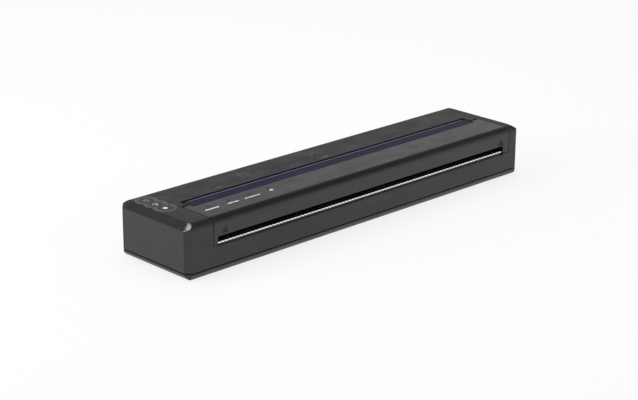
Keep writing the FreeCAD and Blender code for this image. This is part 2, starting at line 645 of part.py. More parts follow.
cover_skin = profile("cover_skin", (
    (front, cover_edge), (skin_inside, cover_edge), (skin_inside, ceiling), (step_y, ceiling),
    (step_y, top), (front, top)), *cover)
round_edges(cover_skin, size["top_radius"], line_at(front, top))
round_edges(cover_skin, size["top_radius"] - wall, line_at(skin_inside, ceiling))
shelf = profile("cover_shelf", (
    (step_y - wall, shelf_low), (shelf_rear, shelf_low), (shelf_rear, shelf_rear_top),
    (step_y, shelf_front_top), (step_y - wall, shelf_front_top)), *strip_x)
side_outline = (
    (front + wall / 2, ceiling + wall / 2), (front + wall / 2, tab_edge),
    (front + wall * 2, tab_edge), (platen_y, platen_z - size["side_wall_drop"]),
    (step_y, platen_z - size["side_wall_drop"]), (step_y, ceiling + wall / 2))
side_wall = size["cover_side_wall"]
cover_parts = [
    cover_skin, shelf,
    profile("cover_left_side", side_outline, cover[0], cover[0] + side_wall),
    profile("cover_right_side", side_outline, cover[1] - side_wall, cover[1]),
    block("left_tab", (cover[0], cover[0] + size["tab_left"]), (front, skin_inside),
          (tab_edge, cover_edge + wall)),
    block("right_tab", (cover[1] - size["tab_right"], cover[1]), (front, skin_inside),
          (tab_edge, cover_edge + wall)),
    block("left_ear", (cover[0], strip_x[0]), (step_y - wall, hinge_y), (ear_low, top)),
    block("right_ear", (strip_x[1], cover[1]), (step_y - wall, hinge_y), (ear_low, top)),
    rod("left_lug", "X", (hinge_y, hinge_z), size["hinge_drop"], cover[0], strip_x[0]),
    rod("right_lug", "X", (hinge_y, hinge_z), size["hinge_drop"], strip_x[1], cover[1]),
]
light_y = front + size["light_setback"]
light_spots = tuple((cover[0] + size["light_start"] + size["light_pitch"] * k, light_y)
                    for k in range(LIGHT_COUNT))
indicator_x = (light_spots[0][0] - size["indicator_overhang"],
               light_spots[-1][0] + size["indicator_overhang"])
indicator_top = ceiling - size["indicator_board_drop"]
indicator_post_x = (indicator_x[0] + size["indicator_boss_radius"],
                    indicator_x[1] - size["indicator_boss_radius"])
cover_parts += [rod(f"indicator_post_{k}", "Z", (x, light_y), size["indicator_boss_radius"],
                    indicator_top, ceiling + wall / 2, FLAT_COUNT)
                for k, x in enumerate(indicator_post_x)]

frame_x = (plates[0] + plate + size["plate_gap"], plates[1] - plate - size["plate_gap"])
channel_rear = skin_inside + size["channel_depth"]
channel_floor = ceiling - size["leg_wall"]
cover_screw_y = (skin_inside + size["guide_wall"] + channel_rear) / 2
cover_screw_shares = (0.06, 0.35, 0.65, 0.94)
frame_span = frame_x[1] - frame_x[0]
cover_screw_spots = tuple((frame_x[0] + frame_span * share, cover_screw_y)
                          for share in cover_screw_shares)
pin_depth = size["lug_length"] + running_fit
cover_holes = [
    rod("left_lug_bore", "X", (hinge_y, hinge_z), pin_bore, cover[0] - overrun,
        cover[0] + pin_depth),
    rod("right_lug_bore", "X", (hinge_y, hinge_z), pin_bore, cover[1] - pin_depth,
        cover[1] + overrun),
]
cover_holes += [rod(f"light_bore_{k}", "Z", spot, size["light_pipe_radius"] + running_fit,
                    indicator_top, top + overrun, HEAD_COUNT)
                for k, spot in enumerate(light_spots)]
cover_holes += [rod(f"cover_pilot_{k}", "Z", spot, screw_bore, ceiling - overrun,
                    ceiling + size["small_screw_bite"], FLAT_COUNT)
                for k, spot in enumerate(cover_screw_spots)]
node("release_cover", carve("release_cover", join("cover_moulding", cover_parts), cover_holes))

node("hinge_pins", join("hinge_pins", [
    rod("left_hinge_pin", "X", (hinge_y, hinge_z), size["hinge_pin_radius"],
        bay[0] - wall + running_fit, cover[0] + size["lug_length"]),
    rod("right_hinge_pin", "X", (hinge_y, hinge_z), size["hinge_pin_radius"],
        cover[1] - size["lug_length"], bay[1] + wall - running_fit)]))

strip_front = step_y + size["strip_line"]
strip = profile("slot_strip", (
    (strip_front, shelf_front_top), (shelf_rear, shelf_rear_top),
    (shelf_rear, shelf_rear_top - size["strip_hang"]),
    (shelf_rear + size["strip_nose"], shelf_rear_top - size["strip_hang"]),
    (shelf_rear + size["strip_nose"], shelf_rear_top + size["strip_nose"]),
    (shelf_rear, shelf_rear_top + size["strip_thickness"]),
    (strip_front, shelf_front_top + size["strip_thickness"])), *strip_x)
round_edges(strip, size["strip_corner"],
            lambda spots: upright(spots) and near(spots[1].y, strip_front))
node("slot_strip", strip)

# Indicator board under the cover, with a light pipe from each lamp to the top
node("indicator_light_pipes", join("indicator_light_pipes", [
    rod(f"light_pipe_{k}", "Z", spot, size["light_pipe_radius"], indicator_top, top, HEAD_COUNT)
    for k, spot in enumerate(light_spots)]))
half_indicator = size["indicator_board_width"] / 2
node("indicator_board", block("indicator_board", indicator_x,
                              (light_y - half_indicator, light_y + half_indicator),
                              (indicator_top - size["indicator_board_thickness"], indicator_top)))

# Inner frame of the cover: a front channel with the upper paper guide, ribs, and the roller's arms
nose_y = platen_y - size["platen_radius"] - size["nose_gap"]
nose_z = cover_edge - size["nose_drop"]
guide_wall = size["guide_wall"]
inner_round = size["top_radius"] - wall
arm_rear = step_y - wall - running_fit
channel = profile("cover_channel", (
    (skin_inside + inner_round, ceiling), (skin_inside, ceiling - inner_round),
    (skin_inside, cover_edge), (nose_y, nose_z),
    (nose_y, nose_z + guide_wall), (skin_inside + guide_wall, cover_edge + guide_wall),
    (skin_inside + guide_wall, channel_floor), (channel_rear, channel_floor),
    (channel_rear, ceiling)), *frame_x)
arm_reach = size["arm_reach"]
arm_outline = (
    (skin_inside + inner_round, ceiling), (skin_inside, ceiling - inner_round),
    (skin_inside, cover_edge), (platen_y - arm_reach, platen_z - arm_reach),
    (platen_y + arm_reach, platen_z - arm_reach), (arm_rear, ceiling - size["rib_depth"]),
    (arm_rear, ceiling))
arms = [profile("left_arm", arm_outline, frame_x[0], frame_x[0] + size["arm_wall"]),
        profile("right_arm", arm_outline, frame_x[1] - size["arm_wall"], frame_x[1])]
rib_shares = (0.3, 0.44, 0.58, 0.72, 0.86)
ribs = [block(f"cover_rib_{k}", (frame_x[0] + frame_span * share,
                                 frame_x[0] + frame_span * share + guide_wall),
              (channel_rear - wall / 2, arm_rear), (ceiling - size["rib_depth"], ceiling))
        for k, share in enumerate(rib_shares)]
roller_x = (frame_x[0] + size["arm_wall"] + size["roller_end_gap"],
            frame_x[1] - size["arm_wall"] - size["roller_end_gap"])
platen_spot = (platen_y, platen_z)
frame_cuts = [
    rod("roller_room", "X", platen_spot, size["platen_radius"] + size["rib_gap"],
        frame_x[0] + size["arm_wall"], frame_x[1] - size["arm_wall"]),
    rod("bushing_bore", "X", platen_spot, size["bushing_radius"] + running_fit,
        frame_x[0] - overrun, frame_x[1] + overrun),
]
frame_cuts += [rod(f"frame_screw_hole_{k}", "Z", spot, screw_bore, channel_floor - overrun,
                   ceiling + overrun, FLAT_COUNT) for k, spot in enumerate(cover_screw_spots)]
node("cover_inner_frame", carve("cover_inner_frame",
                                join("cover_frame_moulding", [channel] + arms + ribs), frame_cuts))
node("cover_screws", screws("cover_screws", cover_screw_spots, size["small_screw_radius"],
                            size["small_screw_head_radius"], size["small_screw_head"],
                            channel_floor, size["leg_wall"] + size["small_screw_bite"]
                            - running_fit, True))

# Platen roller in its bushings
gear_x = plates[1] + size["gear_gap"]
journal_bore = size["platen_core_radius"] + running_fit
shaft_x = (cover[0] + side_wall + size["cover_gap"],
           gear_x + size["gear_width"] + size["stud_tip"])
rubber_inside = size["platen_radius"] - size["platen_rubber_wall"]
node("platen_shaft", join("platen_shaft", [
    rod("platen_journals", "X", platen_spot, size["platen_core_radius"], *shaft_x),
    rod("platen_core", "X", platen_spot, rubber_inside, *roller_x)]))
node("platen_rubber", carve("platen_rubber", rod("rubber_sleeve", "X", platen_spot,
                                                 size["platen_radius"], *roller_x), [
    rod("rubber_bore", "X", platen_spot, rubber_inside, roller_x[0] - overrun,
        roller_x[1] + overrun)]))
node("platen_bushings", carve("platen_bushings", join("bushing_rounds", [
    rod("left_bushing", "X", platen_spot, size["bushing_radius"], plates[0],
        frame_x[0] + size["arm_wall"]),
    rod("right_bushing", "X", platen_spot, size["bushing_radius"],
        frame_x[1] - size["arm_wall"], plates[1])]), [
    rod("journal_bore", "X", platen_spot, journal_bore, plates[0] - overrun,
        plates[1] + overrun)]))

# Directions at the roller: the cover lifts it straight off the head, along the nip line
reach_y = size["platen_forward"]
reach_z = size["platen_drop"]
reach = Size(math.hypot(reach_y, reach_z), f"sqrt({(reach_y * reach_y + reach_z * reach_z).text})")
nip = (reach_z / reach, -reach_y / reach)
along = (reach_y / reach, reach_z / reach)
contact = (platen_y + nip[0] * size["platen_radius"], platen_z + nip[1] * size["platen_radius"])


def head_point(forward, behind):
    """A point given along the head's face from the nip, and square to it away from the roller."""
    return (contact[0] + along[0] * forward + nip[0] * behind,
            contact[1] + along[1] * forward + nip[1] * behind)


def head_bar(name, start, end, near_side, far_side, x):
    """A bar with a square section in line with the head."""
    return profile(name, (head_point(start, near_side), head_point(start, far_side),
                          head_point(end, far_side), head_point(end, near_side)), *x)


# Gear centres, one after another from the roller to the motor
module = size["gear_module"]


def step_from(spot, teeth, other_teeth, direction):
    """The centre of the next gear: half the two pitch circles away, in a direction."""
    distance = module * (size[teeth] + size[other_teeth]) / 2
    return (spot[0] + distance * direction[0], spot[1] + distance * direction[1])


def heading(name):
    """The two parts of a direction whose angle from the rear is in the sheet."""
    angle = math.radians(size[name])
    return (Size(math.cos(angle), f"cos(Sizes.{name} * 1 deg)"),
            Size(math.sin(angle), f"sin(Sizes.{name} * 1 deg)"))


idler_spot = step_from(platen_spot, "platen_teeth", "idler_teeth", nip)
reduction_spot = step_from(idler_spot, "idler_teeth", "reduction_small_teeth",
                           heading("idler_turn"))
motor_spot = step_from(reduction_spot, "reduction_large_teeth", "pinion_teeth",
                       heading("reduction_turn"))

# Chassis: one bent steel sheet that carries the roller's saddles, the head, the gears and the motor
saddle_low = (platen_y - along[0] * size["saddle_low_reach"],
              platen_z - along[1] * size["saddle_low_reach"])
saddle_high = (platen_y + along[0] * size["saddle_high_reach"],
               platen_z + along[1] * size["saddle_high_reach"])
plate_front = platen_y - size["plate_toe"]
flange_top = ceiling - size["rear_flange_drop"]
end_outline = (
    (plate_front, floor), (chassis_y[1], floor), (chassis_y[1], flange_top),
    (hinge_y + size["plate_shoulder"], hinge_z - size["plate_shoulder_drop"]),
    saddle_high, saddle_low, (plate_front, saddle_low[1] - plate))
chassis_parts = [
    block("chassis_floor", plates, chassis_y, (floor, floor + plate)),
    block("chassis_flange", plates, (chassis_y[1] - plate, chassis_y[1]), (floor, flange_top)),
    profile("left_end_plate", end_outline, plates[0], plates[0] + plate),
    profile("right_end_plate", end_outline, plates[1] - plate, plates[1]),
    block("motor_plate", (plates[1] - plate, plates[1]), (chassis_y[1] - plate,
                                                          inside_y[1] - seat_gap),
          (floor, ceiling - size["motor_plate_headroom"])),
]
pivot_spot = head_point(size["head_pivot_along"], size["paper_gap"] + size["substrate"]
                        + size["heatsink"] / 2)
motor_screw_spots = ((motor_spot[0], motor_spot[1] - size["motor_screw_reach"]),
                     (motor_spot[0], motor_spot[1] + size["motor_screw_reach"]))
saddle_radius = size["bushing_radius"] + seat_gap
chassis_cuts = [
    rod("saddles", "X", platen_spot, saddle_radius, plates[0] - overrun, plates[1] + overrun),
    rod("head_pin_holes", "X", pivot_spot, size["head_pin_radius"] + running_fit,
        plates[0] - overrun, plates[1] + overrun),
    rod("motor_boss_hole", "X", motor_spot, size["motor_boss_radius"] + running_fit,
        plates[1] - plate - overrun, plates[1] + overrun),
]
chassis_cuts += [rod(f"motor_screw_hole_{k}", "X", spot, screw_bore, plates[1] - plate - overrun,
                     plates[1] + overrun, FLAT_COUNT) for k, spot in enumerate(motor_screw_spots)]
chassis_cuts += [rod(f"chassis_hole_{k}", "Z", spot, screw_bore, floor - overrun,
                     floor + plate + overrun, FLAT_COUNT) for k, spot in enumerate(chassis_screw_spots)]
node("chassis_frame", carve("chassis_frame", join("chassis_sheet", chassis_parts), chassis_cuts))
node("chassis_screws", screws("chassis_screws", chassis_screw_spots, size["small_screw_radius"],
                              size["small_screw_head_radius"], size["small_screw_head"],
                              floor + plate, plate + size["small_screw_bite"] - running_fit,
                              False))

# Thermal head: a ceramic strip on a metal bar that turns on two pins and is pushed by leaf springs
head_x = (plates[0] + plate + size["head_end_gap"], plates[1] - plate - size["head_end_gap"])
sink_near = size["paper_gap"] + size["substrate"]
sink_far = sink_near + size["heatsink"]
node("head_substrate", head_bar("head_substrate", -size["head_front"], size["substrate_end"],
                                size["paper_gap"], sink_near, head_x))
heatsink_bar = head_bar("heatsink_bar", -size["head_front"], size["head_rear"], sink_near,
                        sink_far, head_x)
head_pin_bore = size["head_pin_radius"] + running_fit
node("head_heatsink", carve("head_heatsink", heatsink_bar, [
    rod("left_head_bore", "X", pivot_spot, head_pin_bore, head_x[0] - overrun,
        head_x[0] + size["head_bore_depth"]),
    rod("right_head_bore", "X", pivot_spot, head_pin_bore, head_x[1] - size["head_bore_depth"],
        head_x[1] + overrun)]))
node("head_pivot_pins", join("head_pivot_pins", [
    rod("left_head_pin", "X", pivot_spot, size["head_pin_radius"], plates[0],
        head_x[0] + size["head_bore_depth"] - seat_gap, HEAD_COUNT),
    rod("right_head_pin", "X", pivot_spot, size["head_pin_radius"],
        head_x[1] - size["head_bore_depth"] + seat_gap, plates[1], HEAD_COUNT)]))
node("head_driver_cover", head_bar("head_driver_cover", size["driver_cover_start"],
                                   size["driver_cover_end"],
                                   size["paper_gap"] - size["driver_cover_height"],
                                   size["paper_gap"], head_x))
middle_x = (head_x[0] + head_x[1]) / 2
half_connector = size["connector_length"] / 2
connector_start = size["connector_setback"] - size["connector_width"]
node("head_connector", head_bar("head_connector", connector_start, size["connector_setback"],
                                sink_far, sink_far + size["connector_height"],
                                (middle_x - half_connector, middle_x + half_connector)))

leaf = size["leaf"]
leaf_tip = head_point(Size(0, "0"), sink_far + running_fit)
leaf_front = chassis_y[1] - size["leaf_foot_setback"] - size["leaf_foot"]
leaf_rear = chassis_y[1] - size["leaf_foot_setback"]
leaf_base = floor + plate
leaf_outline = (
    (leaf_rear, leaf_base), (leaf_front, leaf_base), leaf_tip,
    (leaf_tip[0] + leaf, leaf_tip[1]), (leaf_front + leaf, leaf_base + leaf),
    (leaf_rear, leaf_base + leaf))
leaf_shares = (0.12, 0.37, 0.63, 0.88)
head_span = head_x[1] - head_x[0]
node("head_springs", join("head_springs", [
    profile(f"head_leaf_{k}", leaf_outline, head_x[0] + head_span * share - size["leaf_width"] / 2,
            head_x[0] + head_span * share + size["leaf_width"] / 2)
    for k, share in enumerate(leaf_shares)]))

# Main board on its posts, and the ribbon cable that runs from it to the head
board_z = (size["main_board_height"], size["main_board_height"] + size["main_board_thickness"])
main_board_slab = block("main_board_slab", board_x, board_y, board_z)
node("main_board", carve("main_board", main_board_slab, [
    rod(f"board_hole_{k}", "Z", spot, screw_bore, board_z[0] - overrun, board_z[1] + overrun,
        FLAT_COUNT) for k, spot in enumerate(post_spots)]))
node("board_screws", screws("board_screws", post_spots, size["small_screw_radius"],
                            size["small_screw_head_radius"], size["small_screw_head"], board_z[1],
                            size["main_board_thickness"] + size["main_board_height"] - floor
                            - running_fit, False))
socket_y = (board_y[1] - size["connector_width"] - plate, board_y[1] - plate)
ribbon_low = board_z[1] + size["ribbon_height"]
ribbon = size["ribbon"]
ribbon_end = head_point(connector_start - ribbon / 2, sink_far + size["connector_height"] / 2)
half_ribbon = size["ribbon_width"] / 2
node("head_ribbon", profile("head_ribbon", (
    (socket_y[1], ribbon_low), (socket_y[1] + size["ribbon_flat"], ribbon_low),
    ribbon_end, (ribbon_end[0] - ribbon, ribbon_end[1] + ribbon),
    (socket_y[1] + size["ribbon_flat"] - ribbon, ribbon_low + ribbon),
    (socket_y[1], ribbon_low + ribbon)), middle_x - half_ribbon, middle_x + half_ribbon))
chip_shares = ((0.18, 0.24, 0.25, 0.75), (0.55, 0.61, 0.3, 0.8), (0.78, 0.83, 0.5, 0.9),
               (0.88, 0.93, 0.3, 0.7))
board_depth = board_y[1] - board_y[0]
chips = [block(f"board_chip_{k}", (board_x[0] + board_span * a, board_x[0] + board_span * b),
               (board_y[0] + board_depth * c, board_y[0] + board_depth * d),
               (board_z[1], board_z[1] + size["chip_height"]))
         for k, (a, b, c, d) in enumerate(chip_shares)]
node("board_components", join("board_components", chips + [
    block("ribbon_socket", (middle_x - half_connector, middle_x + half_connector), socket_y,
          (board_z[1], ribbon_low + ribbon + size["chip_height"] / 2))]))

# Outlet guide under the roller, and the serrated tear bar on its front edge
guide_x = (frame_x[0] + seat_gap, frame_x[1] - seat_gap)
outlet_low = platen_z - size["platen_radius"] - size["outlet_gap"]
outlet_rear = platen_y + size["outlet_tail"]
knee_y = platen_y - size["outlet_knee"]
knee_z = outlet_low + size["outlet_knee_rise"]
bar_y = (front + size["bar_setback"], front + size["bar_setback"] + size["bar_depth"])
bar_seat = size["outlet_bar_seat"]
guide_front = front + size["bar_seat_setback"]
outlet_sheet = profile("outlet_sheet", (
    (outlet_rear, outlet_low), (knee_y, knee_z), (bar_y[1], bar_seat), (guide_front, bar_seat),
    (guide_front, size["front_rise"]), (skin_inside + wall, size["front_rise"]),
    (knee_y, knee_z - guide_wall), (outlet_rear, outlet_low - guide_wall)), *guide_x)
leg_outline = (
    (bar_y[1], floor), (outlet_rear, floor), (outlet_rear, outlet_low - guide_wall / 2),
    (knee_y, knee_z - guide_wall / 2), (bar_y[1], bar_seat - guide_wall / 2))
node("outlet_guide", join("outlet_guide", [
    outlet_sheet,
    profile("left_guide_leg", leg_outline, guide_x[0], guide_x[0] + size["leg_wall"]),
    profile("right_guide_leg", leg_outline, guide_x[1] - size["leg_wall"], guide_x[1])]))

bar_x = (outlet_x[0] + seat_gap, outlet_x[1] - seat_gap)
tooth_count = int((bar_x[1] - bar_x[0]) / size["tooth_pitch"])
tooth_pitch = (bar_x[1] - bar_x[0]) / tooth_count
bar_points = [(bar_x[1], bar_y[1]), (bar_x[0], bar_y[1])]
for k in range(tooth_count):
    tooth_start = bar_x[0] + tooth_pitch * k
    bar_points += [(tooth_start, bar_y[0] + size["tooth_depth"]),
                   (tooth_start + tooth_pitch / 2, bar_y[0])]
bar_points.append((bar_x[1], bar_y[0] + size["tooth_depth"]))
bar_face = Part.Face(Part.makePolygon([FreeCAD.Vector(x, y, bar_seat)
                                       for x, y in bar_points + bar_points[:1]]))
tear_bar = doc.addObject("Part::Feature", "tear_bar")
tear_bar.Shape = bar_face.extrude(FreeCAD.Vector(0, 0, size["bar_thickness"]))
node("tear_bar", tear_bar)

# Inlet guide under the deck edge, standing on the chassis flange
toe_y = hinge_y + size["inlet_toe"]
toe_z = hinge_z - size["inlet_toe_drop"]
inlet_wall = size["inlet_wall"]
node("inlet_guide", profile("inlet_guide", (
    (deck_edge, ceiling), (deck_edge, ceiling - size["inlet_drop"]), (toe_y, toe_z),
    (toe_y + plate, toe_z - size["inlet_slope"]),
    (chassis_y[1] - plate, ceiling - size["inlet_drop"] - inlet_wall * 2),
    (chassis_y[1] - plate, flange_top), (chassis_y[1], flange_top),
    (chassis_y[1], ceiling - size["inlet_drop"] - inlet_wall),
    (deck_edge + inlet_wall, ceiling - wall), (deck_edge + inlet_wall, ceiling)), *head_x))


# Gears: involute teeth, each flank cut to one flat
PRESSURE_ANGLE = math.radians(20)
ROOT_SHARE = 1.2
TIP_SHARE = 0.9
UNDERCUT_SHARE = 0.55


def tooth_outline(teeth, bore):
    """The outline of a gear about the origin of a plane, with a tooth pointing along its first axis."""
    pitch_radius = module * teeth / 2
    base_radius = pitch_radius * math.cos(PRESSURE_ANGLE)
    tip_radius = pitch_radius + module * TIP_SHARE
    root_radius = pitch_radius - module * ROOT_SHARE
    half_tooth = math.pi / (2 * teeth) - size["gear_backlash"] / (2 * pitch_radius)
    start_radius = max(base_radius, root_radius)

    def spread(radius):
        """How far the involute has turned from its start on the base circle."""
        slope = math.acos(min(1, base_radius / radius))
        return math.tan(slope) - slope

    flank = [(radius, half_tooth + spread(pitch_radius) - spread(radius))
             for radius in (start_radius, tip_radius)]
    points = []
    for tooth in range(teeth):
        middle = 2 * math.pi * tooth / teeth
        points.append((root_radius, middle - flank[0][1] * UNDERCUT_SHARE))
        points += [(radius, middle - turn) for radius, turn in flank]
        points += [(radius, middle + turn) for radius, turn in reversed(flank)]
        points.append((root_radius, middle + flank[0][1] * UNDERCUT_SHARE))
    wire = Part.makePolygon([FreeCAD.Vector(0, radius * math.cos(turn), radius * math.sin(turn))
                             for radius, turn in points + points[:1]])
    hole = Part.Wire(Part.makeCircle(bore, FreeCAD.Vector(), FreeCAD.Vector(1, 0, 0)))
    return Part.Face(wire).cut(Part.Face(hole))


def gear_shape(teeth, bore, start, end):
    face = tooth_outline(int(teeth), bore)
    face.translate(FreeCAD.Vector(start, 0, 0))
    return face.extrude(FreeCAD.Vector(end - start, 0, 0)).Solids[0]


def gear_node(label, shape, x, spot, phase):
    """A gear at its station, turned so that its teeth sit in its neighbour's gaps."""
    made = doc.addObject("Part::Feature", label)
    made.Shape = shape
    made.Placement = FreeCAD.Placement(
        FreeCAD.Vector(x, spot[0], spot[1]),
        FreeCAD.Rotation(FreeCAD.Vector(1, 0, 0), math.degrees(phase)))
    node(label, made)


def next_phase(phase, teeth, other_teeth, direction):
    """The turn of the driven gear when the driving gear stands at a phase."""
    offset = (direction - phase) * teeth
    return direction + math.pi + (offset + math.pi) / other_teeth


def direction_of(start, end):
    return math.atan2(end[1] - start[1], end[0] - start[0])


gear_end = gear_x + size["gear_width"]
wheel_x = gear_end + size["gear_step"]
wheel_end = wheel_x + size["gear_width"]
nip_turn = direction_of(platen_spot, idler_spot)
idler_direction = direction_of(idler_spot, reduction_spot)
motor_direction = direction_of(reduction_spot, motor_spot)
idler_phase = next_phase(nip_turn, size["platen_teeth"], size["idler_teeth"], nip_turn)
reduction_phase = next_phase(idler_phase, size["idler_teeth"], size["reduction_small_teeth"],
                             idler_direction)
pinion_phase = next_phase(reduction_phase, size["reduction_large_teeth"], size["pinion_teeth"],
                          motor_direction)
gear_width = size["gear_width"]
stud_bore = size["stud_radius"] + running_fit
gear_node("platen_gear", gear_shape(size["platen_teeth"], size["platen_core_radius"], 0,
                                    gear_width), gear_x, platen_spot, nip_turn)
gear_node("idler_gear", gear_shape(size["idler_teeth"], stud_bore, 0, gear_width), gear_x,
          idler_spot, idler_phase)
hub = Part.makeCylinder(size["hub_radius"], wheel_x - gear_x, FreeCAD.Vector(),
                        FreeCAD.Vector(1, 0, 0))
hub_hole = Part.makeCylinder(stud_bore, wheel_x - gear_x, FreeCAD.Vector(),
                             FreeCAD.Vector(1, 0, 0))
cluster = gear_shape(size["reduction_small_teeth"], stud_bore, 0, gear_width)
cluster = cluster.fuse([hub.cut(hub_hole), gear_shape(size["reduction_large_teeth"], stud_bore,
                                                      wheel_x - gear_x, wheel_end - gear_x)])
gear_node("reduction_gear", cluster, gear_x, reduction_spot, reduction_phase)
gear_node("motor_pinion", gear_shape(size["pinion_teeth"], size["motor_shaft_radius"], 0,
                                     gear_width), wheel_x, motor_spot, pinion_phase)
node("gear_studs", join("gear_studs", [
    rod("idler_stud", "X", idler_spot, size["stud_radius"], plates[1],
        gear_end + size["stud_tip"], HEAD_COUNT),
    rod("reduction_stud", "X", reduction_spot, size["stud_radius"], plates[1],
        wheel_end + size["stud_tip"], HEAD_COUNT)]))

# Motor behind the right end plate
can = join("motor_body", [
    rod("motor_drum", "X", motor_spot, size["motor_radius"], motor_start, motor_face, FINE_COUNT),
    rod("motor_boss_ring", "X", motor_spot, size["motor_boss_radius"], motor_face - overrun,
        motor_face + size["motor_boss"], HEAD_COUNT)])
motor_cuts = [rod("motor_bore", "X", motor_spot, size["motor_shaft_radius"] + running_fit,
                  motor_face - size["motor_bore_depth"], plates[1] + overrun)]
motor_cuts += [rod(f"motor_screw_bore_{k}", "X", spot, screw_bore,
                   motor_face - size["small_screw_bite"], motor_face + overrun, FLAT_COUNT)
               for k, spot in enumerate(motor_screw_spots)]
node("motor_can", carve("motor_can", can, motor_cuts))
node("motor_shaft", rod("motor_shaft", "X", motor_spot, size["motor_shaft_radius"],
                        motor_face - size["motor_bore_depth"] + seat_gap, wheel_end))
motor_screws = []
for k, spot in enumerate(motor_screw_spots):
    motor_screws.append(rod(f"motor_screw_shank_{k}", "X", spot, size["small_screw_radius"],
                            motor_face - size["small_screw_bite"] + running_fit, plates[1],
                            FLAT_COUNT))
    motor_screws.append(rod(f"motor_screw_head_{k}", "X", spot, size["small_screw_head_radius"],
                            plates[1], plates[1] + size["small_screw_head"], HEAD_COUNT))
node("motor_screws", join("motor_screws", motor_screws))

# Battery pack: a moulded case open to the front, its lid, and three round cells end to end
battery_wall = size["battery_wall"]
pack = slab("battery_outside", battery_x, (battery_front + battery_wall, rear), battery_z)
round_edges(pack, size["battery_corner"], upright)
cell_room = block("cell_room", (battery_x[0] + battery_wall, battery_x[1] - battery_wall),
                  (battery_front, rear - battery_wall),
                  (battery_z[0] + battery_wall, battery_z[1] - battery_wall))
grip_x = (battery_x[0] + battery_x[1] - size["grip_length"]) / 2
grip_z = (battery_z[0] + battery_z[1] - size["grip_height"]) / 2
grip = block("battery_grip", (grip_x, grip_x + size["grip_length"]),
             (rear - size["grip_depth"], rear + overrun), (grip_z, grip_z + size["grip_height"]))
node("battery_casing", carve("battery_casing", pack, [cell_room, grip]))
node("battery_lid", block("battery_lid", battery_x, (battery_front, battery_front + battery_wall),
                          battery_z))
cell_y = (battery_front + rear) / 2
cell_z = (battery_z[0] + battery_z[1]) / 2
cell_gap = size["cell_gap"]
cell_length = (battery_span - battery_wall * 2 - cell_gap * (CELL_COUNT + 1)) / CELL_COUNT
cell_radius = smaller(rear - battery_front, battery_z[1] - battery_z[0]) / 2 - battery_wall
cell_radius = cell_radius - size["cell_play"]
node("battery_cells", join("battery_cells", [
    rod(f"battery_cell_{k}", "X", (cell_y, cell_z), cell_radius,
        battery_x[0] + battery_wall + cell_gap + (cell_length + cell_gap) * k,
        battery_x[0] + battery_wall + (cell_length + cell_gap) * (k + 1), FINE_COUNT)
    for k in range(CELL_COUNT)]))
terminal_left = battery_x[1] - size["terminal_inset"]
node("battery_terminals", block("battery_terminals", (
    terminal_left, terminal_left + size["terminal_width"]),
    (chassis_y[1], battery_front - seat_gap), (size["terminal_low"], size["terminal_high"])))

# Check and write every piece
doc.recompute()
faulty = [item.Name for item in doc.Objects if {"Invalid", "Error"} & set(item.State)]
faulty += [item.Label for item in pieces if item.Shape.isNull() or not item.Shape.isValid()]
if faulty:
    raise RuntimeError(f"These objects failed to build: {faulty}")
os.makedirs("parts", exist_ok=True)
for item in pieces:
    item.Shape.exportStep(f"parts/{item.Label}.step")
    box = item.Shape.BoundBox
    print(f"{item.Label}: {len(item.Shape.Solids)} solid(s), {item.Shape.Volume:.0f} mm3, "
          f"X {box.XMin:.1f} to {box.XMax:.1f}, Y {box.YMin:.1f} to {box.YMax:.1f}, "
          f"Z {box.ZMin:.1f} to {box.ZMax:.1f}")
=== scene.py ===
# %% [markdown]
# A portable page-width printer, dressed for its picture.
#
# The printer is a long, low bar of dark moulded plastic. The solid parts come from the packed
# model; this lesson loads them, gives each one its finish, and adds the small things that
# moulding, pad printing and assembly leave on them. We start by loading the parts.

# %% Load the fixed parts
import math

import bmesh
import bpy
import numpy as np
from mathutils import Matrix, Vector


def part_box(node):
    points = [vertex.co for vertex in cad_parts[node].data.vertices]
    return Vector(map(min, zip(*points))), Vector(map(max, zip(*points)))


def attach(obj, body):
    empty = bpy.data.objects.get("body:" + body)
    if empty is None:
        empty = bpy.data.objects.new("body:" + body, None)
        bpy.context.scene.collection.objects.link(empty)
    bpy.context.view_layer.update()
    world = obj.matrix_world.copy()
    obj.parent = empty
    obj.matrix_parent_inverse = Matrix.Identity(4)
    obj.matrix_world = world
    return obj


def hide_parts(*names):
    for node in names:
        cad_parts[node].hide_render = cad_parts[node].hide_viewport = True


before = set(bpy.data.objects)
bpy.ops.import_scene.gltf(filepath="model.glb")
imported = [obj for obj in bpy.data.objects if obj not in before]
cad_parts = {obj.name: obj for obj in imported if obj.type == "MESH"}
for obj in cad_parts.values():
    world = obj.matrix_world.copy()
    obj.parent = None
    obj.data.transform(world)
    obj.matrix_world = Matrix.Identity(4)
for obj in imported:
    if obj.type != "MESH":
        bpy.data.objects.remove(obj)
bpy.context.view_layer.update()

# %% [markdown]
# ## Camera
#
# The picture was taken from the front left, a little above the printer, with a long lens, so the
# edges hardly converge. We build the camera from an azimuth, an elevation, a small roll and a
# distance, instead of placing it by hand, because those four numbers can be read and changed.

# %% Place the camera
MM = 0.001
PICTURE = (638, 400)
AZIMUTH = math.radians(-44.0994)
ELEVATION = math.radians(19.407)
ROLL = math.radians(0.3051)
DISTANCE = 987.9646 * MM
AIM = Vector((0.0, 0.0, 15.0 * MM))
SLIDE_RIGHT, SLIDE_UP = -7.329 * MM, -8.0356 * MM
FOCAL_PIXELS = 1780.2775
SENSOR = 36.0


